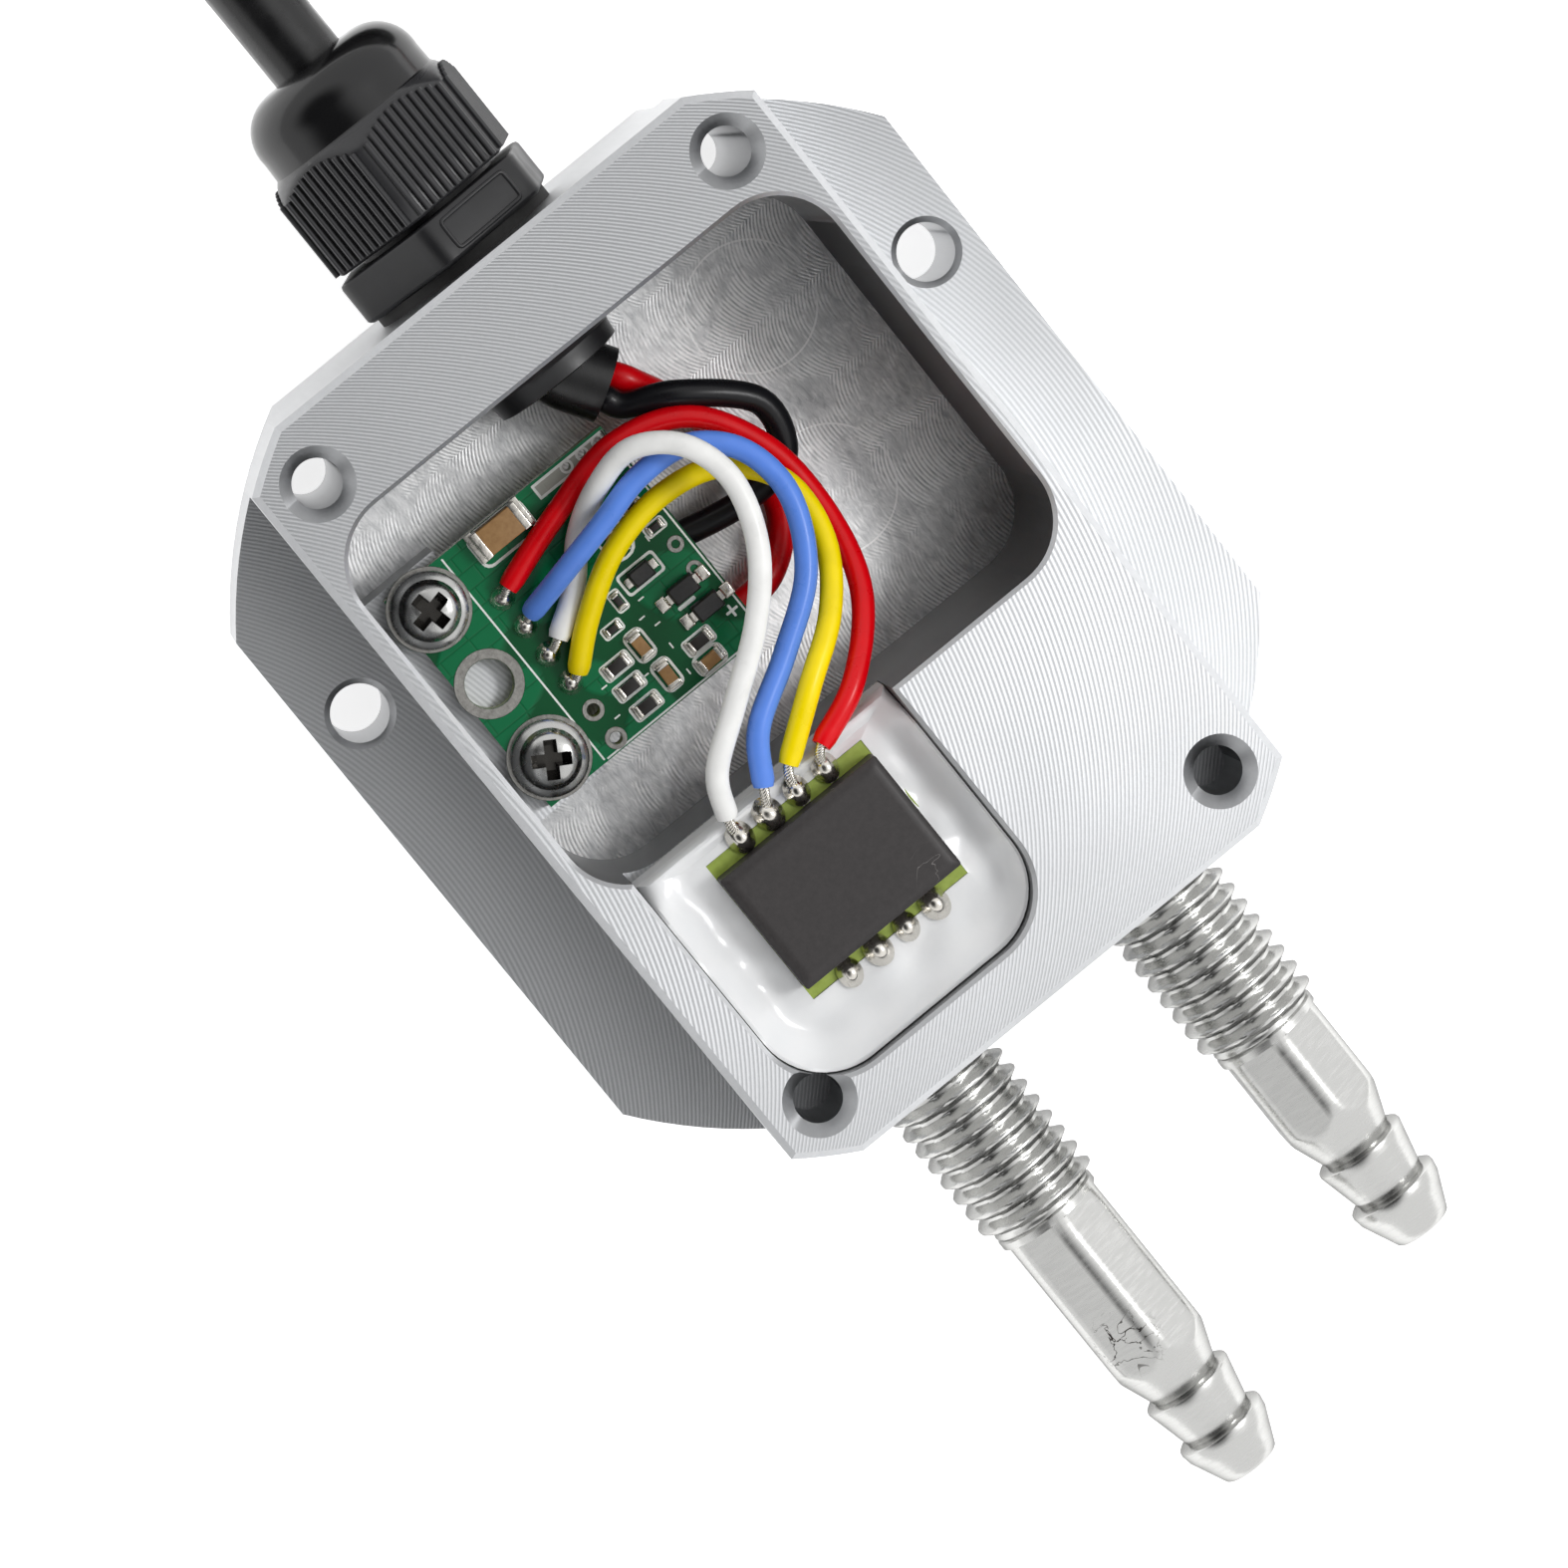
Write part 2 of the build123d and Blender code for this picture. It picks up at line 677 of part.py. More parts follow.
large_capacitor_place = [(-0.35, 8.15, 0)]
large_capacitor_size = (3.9, 2.1, 1.5)
capacitor_places = [(2.25, -4.4, 90), (2.45, -7.2, 90), (5.45, -8.3, 0), (5.45, 2.5, 90)]
capacitor_size = (1.9, 1.0, 0.8)
resistor_places = [(0.05, -4.5, 0), (-0.15, -6.2, 0), (-0.05, -8.0, 0), (5.65, -6.8, 0)]
resistor_size = (1.7, 0.85, 0.5)
transistor_places = [(7.05, -3.2, 0), (7.65, -5.2, 0)]
transistor_size = (2.2, 1.45, 1.1)
diode_places = [(5.45, -0.5, 0)]
diode_size = (1.7, 1.3, 0.9)
finish(chips(large_capacitor_place, *large_capacitor_size), "large_capacitor")
finish(chips(capacitor_places, *capacitor_size), "small_capacitors")
finish(chips(resistor_places, *resistor_size), "resistors")
finish(chips(transistor_places, *transistor_size, lead_strip), "transistors")
finish(chips(diode_places, *diode_size, lead_strip), "diode")

# Leads of the transistors and the diode, flat strips under both ends of each package
transistor_lead = (3.4, 0.9)
diode_lead = (2.5, 0.7)
with BuildPart() as package_leads:
    for places, lead in ((transistor_places, transistor_lead), (diode_places, diode_lead)):
        with Locations(*[(board_x + x, board_y + y, board_top) for x, y, turn in places]):
            Box(*lead, lead_strip, align=(Align.CENTER, Align.CENTER, Align.MIN))
finish(package_leads.part, "package_leads")

# Pressure sensor: ceramic plate, dark cap, leads and two port tubes
with BuildPart() as sensor_plate:
    with BuildSketch(Plane.XY.offset(substrate_top - substrate_thickness)):
        with Locations((sensor_x, sensor_y)):
            Rectangle(substrate_width, substrate_length)
    extrude(amount=substrate_thickness)
finish(sensor_plate.part, "sensor_plate")

with BuildPart() as sensor_cap:
    with BuildSketch(Plane.XY.offset(substrate_top)):
        with Locations((sensor_x, sensor_y)):
            Rectangle(cap_width, cap_length)
    extrude(amount=cap_height)
    fillet(sensor_cap.edges().filter_by(Axis.Z), cap_corner)
    chamfer(sensor_cap.faces().sort_by(Axis.Z)[-1].edges(), cap_break)
finish(sensor_cap.part, "sensor_cap")

with BuildPart() as sensor_ports:
    with BuildSketch(Plane.XY.offset(substrate_top - substrate_thickness)):
        with Locations((sensor_x - port_x, sensor_y), (sensor_x + port_x, sensor_y)):
            Circle(port_tube / 2)
            Circle(port_bore / 2, mode=Mode.SUBTRACT)
    extrude(amount=-port_length)
finish(sensor_ports.part, "sensor_ports")

lead_places = [
    (sensor_x + (column - 1.5) * pin_pitch, side)
    for side in (1, -1)
    for column in range(4)
]
with BuildPart() as sensor_leads:
    for x, side in lead_places:
        inner = sensor_y + side * (cap_length / 2 + thread_clearance)
        outer = sensor_y + side * (lead_row / 2 + lead_foot)
        with Locations((x, (inner + outer) / 2, substrate_top)):
            Box(lead_width, abs(outer - inner), lead_thickness, align=(Align.CENTER, Align.CENTER, Align.MIN))
        with Locations((x, outer - side * lead_thickness / 2, substrate_top)):
            Box(lead_width, lead_thickness, lead_leg, align=(Align.CENTER, Align.CENTER, Align.MAX))
finish(sensor_leads.part, "sensor_leads")


def solder(places, radius, height, turn=0):
    """One dome of solder at each place, or hanging from it where turned over."""
    ball = (radius**2 + height**2) / (2 * height)
    with BuildPart() as dome:
        with Locations((0, 0, height - ball)):
            Sphere(ball)
        split(bisect_by=Plane.XY)
    with BuildPart() as joints:
        with Locations(*[Location(place, (turn, 0, 0)) for place in places]):
            add(dome.part)
    return joints.part


# Solder of the board's pads, of the supply wires under the board and of the sensor's leads
pad_joints = [(x, y, board_top) for x, y in pad_places[:4]]
finish(solder(pad_joints, solder_radius, solder_height), "board_solder")
supply_joint_x = supply_end_x - solder_radius - thread_clearance / 2
supply_joints = [(supply_joint_x, y, board_bottom) for y in (black_joint_y, red_joint_y)]
finish(solder(supply_joints, solder_radius, solder_height, 180), "supply_solder")
lead_joints = [
    (x, sensor_y + side * (lead_row / 2 - solder_inset), substrate_top + lead_thickness)
    for x, side in lead_places
]
finish(solder(lead_joints, lead_solder_radius, solder_height), "sensor_solder")

# Potting silicone, poured round the sensor
silicone_top = substrate_top - silicone_drop
with BuildPart() as potting_silicone:
    with BuildSketch(Plane.XY.offset(recess_floor)):
        with Locations((recess_offset, pocket_bottom - recess_length / 2 + recess_corner)):
            RectangleRounded(recess_width, recess_length + 2 * recess_corner, recess_corner)
        with Locations((recess_offset, pocket_bottom)):
            Rectangle(recess_width, 2 * recess_length, align=(Align.CENTER, Align.MIN), mode=Mode.SUBTRACT)
    extrude(amount=silicone_top - recess_floor)
    add(sensor_plate.part, mode=Mode.SUBTRACT)
    add(sensor_leads.part, mode=Mode.SUBTRACT)
    with Locations(*[(sensor_x + side * port_x, sensor_y, substrate_top) for side in (-1, 1)]):
        Cylinder(port_tube / 2, housing_height, mode=Mode.SUBTRACT)
finish(potting_silicone.part, "potting_silicone")
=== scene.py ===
import math
from functools import partial

import bmesh
import bpy
from mathutils import Matrix, Vector


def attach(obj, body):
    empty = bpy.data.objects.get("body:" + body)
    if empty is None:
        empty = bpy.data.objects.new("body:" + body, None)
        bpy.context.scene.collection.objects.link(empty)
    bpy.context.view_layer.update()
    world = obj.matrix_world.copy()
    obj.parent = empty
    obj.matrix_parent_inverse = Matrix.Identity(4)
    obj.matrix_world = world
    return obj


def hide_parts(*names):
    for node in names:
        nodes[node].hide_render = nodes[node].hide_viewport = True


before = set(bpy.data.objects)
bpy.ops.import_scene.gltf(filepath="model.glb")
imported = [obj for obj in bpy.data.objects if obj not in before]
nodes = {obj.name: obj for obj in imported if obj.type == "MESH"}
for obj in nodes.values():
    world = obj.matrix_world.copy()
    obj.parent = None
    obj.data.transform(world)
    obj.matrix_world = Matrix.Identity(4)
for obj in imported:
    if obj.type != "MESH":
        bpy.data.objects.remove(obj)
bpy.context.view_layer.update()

# Housing. Milled from one block of bare 6061 aluminium and left as machined: soft pale grey that mirrors only
# blurred light. The face mill leaves wide arcs on the faces that it skims, drawn a little coarse so that they
# show. The end mill leaves swirls on the pocket's floor and streaks down the walls. The floor's colour is
# painted lighter, up to white along its swirls, circles and scuffs: painted light and painted sheen. The
# pocket's walls are painted dark grey as shade.
mm = 0.001
face_mill_radius = 40 * mm
arc_pitch = 0.36 * mm
end_mill_radius = 4.75 * mm
end_mill_row = 6.2 * mm
swirl_pitch = 0.3 * mm
floor_limit = 6 * mm
plunge_places = ((14.0, 16.7), (10.3, 2.9))
plunge_line = 0.07 * mm
lacunarity = 2.0
pocket_half_width, pocket_half_length, pocket_middle_y = 21.2 * mm, 26.2 * mm, -1.9 * mm


def linear(hex_colour):
    """An sRGB hex colour as linear RGBA."""
    channels = [int(hex_colour[i : i + 2], 16) / 255 for i in (0, 2, 4)]
    return [c / 12.92 if c <= 0.04045 else ((c + 0.055) / 1.055) ** 2.4 for c in channels] + [1.0]


def set_inputs(node, inputs):
    """Gives a node's inputs, by name or in order, a value, a hex colour, an output or a node's first output."""
    if isinstance(inputs, dict):
        pairs = [(node.inputs[name], value) for name, value in inputs.items()]
    else:
        pairs = zip([socket for socket in node.inputs if socket.enabled], inputs)
    for socket, value in pairs:
        if isinstance(value, bpy.types.Node):
            value = next(output for output in value.outputs if output.enabled)
        if isinstance(value, bpy.types.NodeSocket):
            node.id_data.links.new(value, socket)
        else:
            socket.default_value = linear(value) if socket.type == "RGBA" and isinstance(value, str) else value


def add_node(tree, kind, inputs=(), **settings):
    """Adds a node with its settings and inputs.

    A kind in capitals is a Math operation, and one without Node is a shader node, which its mode may follow.
    """
    kind, *mode = ("Math " + kind if kind.isupper() else kind).split()
    if mode:
        settings["data_type" if kind == "Mix" else "operation"] = mode[0]
    node = tree.nodes.new(kind if "Node" in kind else "ShaderNode" + kind)
    for name, value in settings.items():
        setattr(node, name, value)
    set_inputs(node, inputs)
    return node


def start_material(name, colour, roughness, metallic=0.0):
    """A material in one plain finish to build on, what adds a node to it, and its shader."""
    material = bpy.data.materials.new(name)
    material.use_nodes = True
    shader = material.node_tree.nodes["Principled BSDF"]
    set_inputs(shader, {"Base Color": colour, "Roughness": roughness, "Metallic": metallic})
    return material, partial(add_node, material.node_tree), shader


def mill_marks(add, x, y, radius, opens, pitch, wander):
    """The marks of a turning cutter: a wave across arcs of its radius, which open to one side."""
    squared = add("POWER", [y, 2.0])
    chord = add("SUBTRACT", [radius**2, squared])
    bulge = add("POWER", [chord, 0.5])
    arc = add(opens, [x, bulge])
    turns = add("MULTIPLY_ADD", [arc, math.tau / pitch, wander])
    return add("SINE", [turns])


def dress(material, *names):
    """Gives CAD nodes a material in place of their own."""
    for name in names:
        nodes[name].data.materials.clear()
        nodes[name].data.materials.append(material)


aluminium, add, shader = start_material("bare milled aluminium", "d2d4d6", 0.34, 1.0)
place = add("TexCoord")
spot = place.outputs["Object"]
at_x, at_y, at_z = add("SeparateXYZ", [spot]).outputs
facing = add("SeparateXYZ", [place.outputs["Normal"]]).outputs["Z"]
wander = add("TexNoise", [spot, 60.0, 2.0])
arcs = mill_marks(add, at_x, at_y, face_mill_radius, "SUBTRACT", arc_pitch, wander)
row = add("WRAP", [at_y, 0.5 * end_mill_row, -0.5 * end_mill_row])
swirls = mill_marks(add, at_x, row, end_mill_radius, "ADD", swirl_pitch, wander)
patches = add("TexNoise", [spot, 240.0, 3.0, 0.5, lacunarity, 1.5])
strength = add("MapRange", [patches, 0.42, 0.62, 0.0, 1.3])
swirls = add("MULTIPLY", [swirls, strength])
drawn_down = add("Mapping", {"Vector": spot, "Scale": (1.0, 1.0, 0.04)})
streaks = add("TexNoise", [drawn_down, 1600.0, 2.0, 0.6])
grain = add("TexNoise", [spot, 5200.0, 3.0])
up = add("GREATER_THAN", [facing, 0.9])
low = add("LESS_THAN", [at_z, floor_limit])
marks = add("Mix", [low, arcs, swirls])
marks = add("Mix", [up, streaks, marks])
circled = 0.0
flat = add("CombineXYZ", [at_x, at_y])
for x, y in plunge_places:
    away = add("VectorMath DISTANCE", [flat, (x * mm, y * mm, 0)])
    on = add("COMPARE", [away, end_mill_radius, plunge_line])
    on = add("MULTIPLY", [on, low])
    circled = add("ADD", [on, circled])
lines = add("MULTIPLY_ADD", [circled, 1.6, marks])
relief = add("MULTIPLY_ADD", [grain, 0.9, lines])
cut = add("Bump", {"Height": relief, "Strength": 0.4, "Distance": 0.01 * mm})
tone = add("MapRange", [relief, -1.2, 2.0])
shade = add("Mix RGBA", [tone, "a9abad", "cccdcf"])
turned = add("Mapping", {"Vector": spot, "Rotation": (0, 0, 0.9), "Scale": (1.0, 0.3, 1.0)})
scuffs = add("TexNoise", [turned, 2600.0, 3.0, 0.7, lacunarity, 0.8])
# The pocket floor's colour is painted lighter, up to white where the swirls, plunge circles and scuffs lie:
# painted light and painted sheen.
floor_sheen_marks = add("MULTIPLY_ADD", [swirls, 0.34, patches])
floor_sheen_marks = add("MULTIPLY_ADD", [circled, 0.5, floor_sheen_marks])
floor_sheen_marks = add("MULTIPLY_ADD", [scuffs, 1.6, floor_sheen_marks])
floor_sheen_marks = add("SUBTRACT", [floor_sheen_marks, 0.7], use_clamp=True)
floor_painted_sheen = add("Mix RGBA", [floor_sheen_marks, "aeb0b2", "ffffff"])
on_floor = add("MULTIPLY", [low, up])
shade = add("Mix RGBA", [on_floor, shade, floor_painted_sheen])
# The pocket's walls are painted dark grey: painted shade.
wall = add("LESS_THAN", [facing, 0.3])
for at, middle, half in ((at_x, 0, pocket_half_width), (at_y, pocket_middle_y, pocket_half_length)):
    wall = add("MULTIPLY", [wall, add("COMPARE", [at, middle, half])])
wall = add("MULTIPLY", [wall, 0.75])
pocket_walls_painted_shade = add("Mix RGBA", [wall, shade, "3e3f41"])
dull = add("MapRange", [wander, 0.3, 0.7, 0.40, 0.48])
across_marks = add("CombineXYZ", [1.0, 0.05, 0.05])
set_inputs(shader, {"Base Color": pocket_walls_painted_shade, "Roughness": dull, "Normal": cut, "Tangent": across_marks})
set_inputs(shader, {"Anisotropic": 0.85})
dress(aluminium, "housing")

# Passage plug. A small pin of bright steel, turned to length and pressed into the end of the cross drilling.
# The lathe leaves fine rings and smears on its face.


def mottle(shader, scale, detail, grit=0.5, tones=None, sheen=None, bump=None):
    """Lets one noise vary a finish: two tones, a roughness range, a bump's strength and depth in mm.

    The sheen is the noise's low and high, then the smoothest and roughest surface between them.
    """
    add = partial(add_node, shader.id_data)
    spot = add("TexCoord").outputs["Object"]
    noise = add("TexNoise", [spot, scale, detail, grit])
    varied = {}
    if tones:
        varied["Base Color"] = add("Mix RGBA", [noise, *tones])
    if sheen:
        varied["Roughness"] = add("MapRange", [noise, *sheen])
    if bump:
        varied["Normal"] = add("Bump", {"Height": noise, "Strength": bump[0], "Distance": bump[1] * mm})
    set_inputs(shader, varied)
    return noise


steel, _, shader = start_material("turned bright steel", "babab8", 0.24, 1.0)
mottle(shader, 1800.0, 3.0, 0.6, sheen=(0.35, 0.7, 0.16, 0.34), bump=(0.3, 0.01))
dress(steel, "passage_plug")

# Hose barbs. Turned from brass bar and nickel plated: an M10 thread, a body with six wrench flats, a cone and
# two rings that grip the hose. The plating is bright and slightly warm, with hairline nicks on the long one.
barb_z = 8.8
thread_start, thread_end = -24.1, -46.3
barb_thread = (4.75, 0.8, 1.45)
barb_radius, barb_apothem, bore_radius = 4.15, 3.8, 1.2
cone_length, cone_drop = 3.75, 1.4
ring_pitch = 3.9
nicks_middle = (-11.9, -57.2, 12.4)


def in_scene(name, data):
    """A new object in the scene."""
    made = bpy.data.objects.new(name, data)
    bpy.context.scene.collection.objects.link(made)
    return made


def add_piece(name, mesh, material, slot, *stands_for, body="transmitter_body"):
    """A finished mesh as a piece that rides on a body, in place of the solids that it stands for."""
    mesh.name = name
    mesh.materials.clear()
    mesh.materials.append(material)
    piece = in_scene(name, mesh)
    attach(piece, body)
    if stands_for:
        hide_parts(*stands_for)
    return piece


def finished(shape):
    """A bmesh as a mesh with smooth faces."""
    for face in shape.faces:
        face.smooth = True
    mesh = bpy.data.meshes.new("mesh")
    shape.to_mesh(mesh)
    shape.free()
    return mesh


def skin(rings, looped=False):
    """A closed smooth shell through rings of points in mm, looped back to the first or closed at both ends.

    A ring of one point is a pole.
    """
    shell = bmesh.new()
    rows = [[shell.verts.new(Vector(point) * mm) for point in ring] for ring in rings]
    for first, second in zip(rows, rows[1:] + rows[:1] if looped else rows[1:]):
        for i in range(max(len(first), len(second))):
            corners = ((first, i), (first, i + 1), (second, i + 1), (second, i))
            shell.faces.new(list(dict.fromkeys(row[k % len(row)] for row, k in corners)))
    if not looped:
        for row in (rows[0], rows[-1]):
            if len(row) > 1:
                shell.faces.new(row)
    bmesh.ops.recalc_face_normals(shell, faces=shell.faces)
    mesh = finished(shell)
    mesh.set_sharp_from_angle(angle=math.radians(32))
    return mesh


def hex_radius(angle, apothem, corner):
    """Distance from the axis to a hexagon with rounded corners, at an angle from the middle of a flat."""
    across = abs((angle + math.pi / 6) % (math.pi / 3) - math.pi / 6)
    if apothem * math.tan(across) <= (apothem - corner) * math.tan(math.pi / 6):
        return apothem / math.cos(across)
    reach = (apothem - corner) / math.cos(math.pi / 6)
    off = math.pi / 6 - across
    return reach * math.cos(off) + math.sqrt(max(corner**2 - (reach * math.sin(off)) ** 2, 0))


def thread_radius(y, angle, crest, depth, pitch, share):
    """Distance from the axis to a thread with a flat crest and root, of which a share is cut."""
    phase = (y / pitch - angle / math.tau) % 1.0
    slope = abs(phase - 0.5) * 2
    return crest - depth + share * depth * (1 - min(max((slope - 0.14) / 0.66, 0), 1))


def circle(radius, columns, start=0.0, sweep=math.tau):
    """Points round an arc, a full turn or part of one. The radius is a number or depends on the angle."""
    angles = [start + sweep * i / columns for i in range(columns)]
    reach = [radius(a) if callable(radius) else radius for a in angles]
    return [(r * math.cos(a), r * math.sin(a)) for r, a in zip(reach, angles)]


def around(x, z, y, radius, columns=96):
    """A ring of points about an axis along Y."""
    return [(x + u, y, z + v) for u, v in circle(radius, columns)]


def hairlines(add, noise, width, middle, near, far, strength):
    """A mask of thin lines where a noise crosses its own middle, which fades out round a place in mm."""
    line = add("COMPARE", [noise, 0.5, width])
    spot = add("TexCoord").outputs["Object"]
    away = add("VectorMath DISTANCE", [spot, [c * mm for c in middle]])
    fade = add("MapRange", [away, near * mm, far * mm, strength, 0.0])
    return add("MULTIPLY", [line, fade])


nickel, add, shader = start_material("nickel plated brass", "cacac8", 0.24, 1.0)
spot = add("TexCoord").outputs["Object"]
squeezed = add("Mapping", {"Vector": spot, "Scale": (0.15, 1.0, 0.15)})
lathe = add("TexNoise", [squeezed, 3800.0, 3.0])
dents = add("TexNoise", [spot, 430.0, 3.0, 0.6, lacunarity, 1.2])
worn = hairlines(add, dents, 0.012, nicks_middle, 1.4, 3.0, 1.0)
plating = add("Mix RGBA", [worn, "cacac8", "3e3a37"])
blur = add("MapRange", [lathe, 0.3, 0.7, 0.18, 0.32])
pits = add("MULTIPLY_ADD", [worn, -3.0, lathe])
pitted = add("Bump", {"Height": pits, "Strength": 0.2, "Distance": 0.006 * mm})
set_inputs(shader, {"Base Color": plating, "Roughness": blur, "Normal": pitted})
set_inputs(shader, {"Specular Tint": (0.35, 0.35, 0.35, 1.0)})

lip = [(0.06, 3.42), (0.16, 3.56), (0.34, 3.6)]
inner_ring = lip + [(0.34 + i * 0.7, 3.6 - 0.164 * i) for i in range(1, 5)] + [(ring_pitch, 2.75)]
outer_ring = lip + [(1.1, 3.48)] + [(1.1 + i * 0.54, 3.48 - 0.24 * i) for i in range(1, 6)]
outer_ring += [(3.9, 2.15), (3.9, 1.3), (3.8, bore_radius), (-4.1, bore_radius)]
for name, x, body_length in (("hose_barb_long", -10.2, 12.9), ("hose_barb_short", 10.2, 7.5)):
    shoulder = thread_end - 0.7
    body_end = thread_end - body_length
    neck = body_end - cone_length
    rows = int((thread_start - thread_end) / barb_thread[2] * 12)
    rings = []
    for i in range(rows + 1):
        y = thread_start + (thread_end - thread_start) * i / rows
        fade = min(1, (thread_start - y) / 0.8, (y - thread_end) / 0.6)
        rings.append(around(x, barb_z, y, lambda a: thread_radius(y, a, *barb_thread, fade)))
    outline = [(thread_end - 0.15, barb_radius), (shoulder, barb_radius)]
    outline += [(shoulder - 0.05 - i * (body_length - 0.75) / 8, barb_radius) for i in range(9)]
    outline += [(body_end - i * cone_length / 14, barb_radius - cone_drop * i / 14) for i in range(1, 15)]
    outline += [(neck - down, r) for down, r in inner_ring]
    outline += [(neck - ring_pitch - down, r) for down, r in outer_ring] + [(thread_start, bore_radius)]
    for y, r in outline:
        flats = shoulder > y > neck
        rings.append(around(x, barb_z, y, lambda a: min(r, hex_radius(a, barb_apothem, 0.05)) if flats else r))
    add_piece(name + "_threaded", skin(rings, looped=True), nickel, "nickel_plated_brass", name)

# Gland gasket. A flat ring punched from black rubber sheet, squeezed between the gland's hexagon and the
# housing. It is matt, with a faint dust of talc. The seal inside the gland is of the same rubber.
rubber, _, shader = start_material("black sheet rubber", "1c1c1c", 0.75)
mottle(shader, 900.0, 4.0, tones=("141414", "2c2b2a"), bump=(0.3, 0.03))
dress(rubber, "gland_gasket", "gland_seal")

# Gland body. Moulded in black nylon: an M12 stem through the wall, a hexagon that a wrench holds, with a plain
# raised frame on its upper flat, and a spigot for the nut. The mould gives it a satin skin.
gland_z = 11.0
gland_turn = math.radians(20)
face_angle = math.pi / 2 - gland_turn
stem_thread = (5.95, 0.8, 1.5)
stem_thread_start = 23.2
hex_apothem, hex_corner = 7.6, 1.2
frame_y, frame_half_width, frame_half_length = 34.8, 3, 1.15


def evaluated(thing):
    """The plain mesh that an object's curve or modifiers give. The object itself goes."""
    bpy.context.view_layer.update()
    mesh = bpy.data.meshes.new_from_object(thing.evaluated_get(bpy.context.evaluated_depsgraph_get()))
    thing.modifiers.clear()
    bpy.data.objects.remove(thing)
    return mesh


def round_line(name, points, radius, rim, resolution, closed=False):
    """A round bar along control points in mm, as a curve of one spline."""
    line = bpy.data.curves.new(name, "CURVE")
    line.dimensions = "3D"
    line.bevel_depth = radius * mm
    line.bevel_resolution = rim
    line.resolution_u = resolution
    line.use_fill_caps = not closed
    spline = line.splines.new("NURBS")
    spline.points.add(len(points) - 1)
    for control, point in zip(spline.points, points):
        control.co = [c * mm for c in point] + [1]
    spline.order_u = 3
    spline.use_endpoint_u = not closed
    spline.use_cyclic_u = closed
    return in_scene(name, line)


def bent_bar(points, radius, closed=False, resolution=6):
    """A round bar along points in mm, as a smooth mesh."""
    mesh = evaluated(round_line("bar", points, radius, 3, resolution, closed))
    mesh.shade_smooth()
    return mesh


def joined(*meshes):
    """Several meshes as one."""
    whole = bmesh.new()
    for mesh in meshes:
        whole.from_mesh(mesh)
    return finished(whole)


nylon, add, shader = start_material("black moulded nylon", "1d1d1f", 0.42)
mottle(shader, 2200.0, 4.0, 0.6, bump=(0.25, 0.02))
scuffs = mottle(shader, 260.0, 5.0, sheen=(0.35, 0.7, 0.34, 0.54))
dust = add("MapRange", [scuffs, 0.5, 0.8, 0.0, 0.5])
greyed = add("Mix RGBA", [dust, "19191b", "333336"])
set_inputs(shader, {"Base Color": greyed})

rings = [around(0, gland_z, y, r, 120) for y, r in ((21.9, 4.7), (22.0, 5.0), (22.9, 5.1), (23.1, 5.15))]
for i in range(79):
    y = stem_thread_start + i * 0.125
    fade = min(1, (y - stem_thread_start) / 0.5)
    rings.append(around(0, gland_z, y, lambda a: thread_radius(y, a, *stem_thread, fade), 120))
for y, r in ((33.1, 7.3), (33.25, 7.5), (33.4, hex_apothem), (36.2, hex_apothem), (36.4, 7.52), (36.5, 7.3)):
    rings.append(around(0, gland_z, y, lambda a: hex_radius(a - face_angle, r, hex_corner), 120))
spigot = ((36.5, 5.6), (42.3, 5.6), (42.5, 5.4), (42.5, 4.35), (37.6, 4.3), (37.6, 3.1))
rings += [around(0, gland_z, y, r, 120) for y, r in spigot + ((22.2, 3.1), (21.9, 3.4))]

frame_points = []
reach = hex_apothem - 0.02
for sign_x, sign_y in ((-1, -1), (1, -1), (1, 1), (-1, 1)):
    cut = ((0, 0.35), (0.08, 0.08), (0.35, 0))
    for in_x, in_y in cut if sign_x == sign_y else cut[::-1]:
        across = sign_x * (frame_half_width - in_x)
        x = reach * math.cos(face_angle) + across * math.sin(face_angle)
        z = gland_z + reach * math.sin(face_angle) - across * math.cos(face_angle)
        frame_points.append((x, frame_y + sign_y * (frame_half_length - in_y), z))
gland = joined(skin(rings, looped=True), bent_bar(frame_points, 0.16, closed=True))
add_piece("gland_body_moulded", gland, nylon, "black_nylon", "gland_body")
dress(nylon, "clamping_claws")

# Sealing nut. Moulded in the same black nylon: a hexagon with eleven grip ribs on each flat and a polished dome
# that closes round the cable. It turns on the spigot and squeezes claws and seal onto the cable. The ribbed
# part is painted a lighter black than the dome, as painted sheen.
nut_start = 36.9
nut_apothem, shell_inset = 7.25, 0.14
cone_start, cone_radius, cone_slope = 42.9, 8.35, 0.85
dome_y, dome_radius, dome_round = 46.55, 3.6, 3.2
rib_start, rib_pitch, rib_radius, rib_count = 37.1, 0.7, 0.22, 11


def start_tree(name, *inputs):
    """A geometry node tree with named inputs, what adds a node to it, and the sockets of its inputs."""
    tree = bpy.data.node_groups.new(name, "GeometryNodeTree")
    for label, kind in inputs:
        tree.interface.new_socket(label, in_out="INPUT", socket_type="NodeSocket" + kind)
    tree.interface.new_socket("Geometry", in_out="OUTPUT", socket_type="NodeSocketGeometry")
    return tree, partial(add_node, tree), add_node(tree, "NodeGroupInput").outputs


def end_tree(add, geometry, material):
    """The end of a tree: instances made real, and their material set."""
    real = add("GeometryNodeRealizeInstances", [geometry])
    dressed = add("GeometryNodeSetMaterial", {"Geometry": real, "Material": material})
    add("NodeGroupOutput", [dressed])


def run_tree(mesh, tree, values):
    """What a node tree makes of a mesh, with its inputs set by name, as a plain mesh."""
    carrier = in_scene("carrier", mesh)
    modifier = carrier.modifiers.new("tree", "NODES")
    modifier.node_group = tree
    for socket in tree.interface.items_tree:
        if socket.in_out == "INPUT" and socket.name in values:
            modifier[socket.identifier] = values[socket.name]
    return evaluated(carrier)


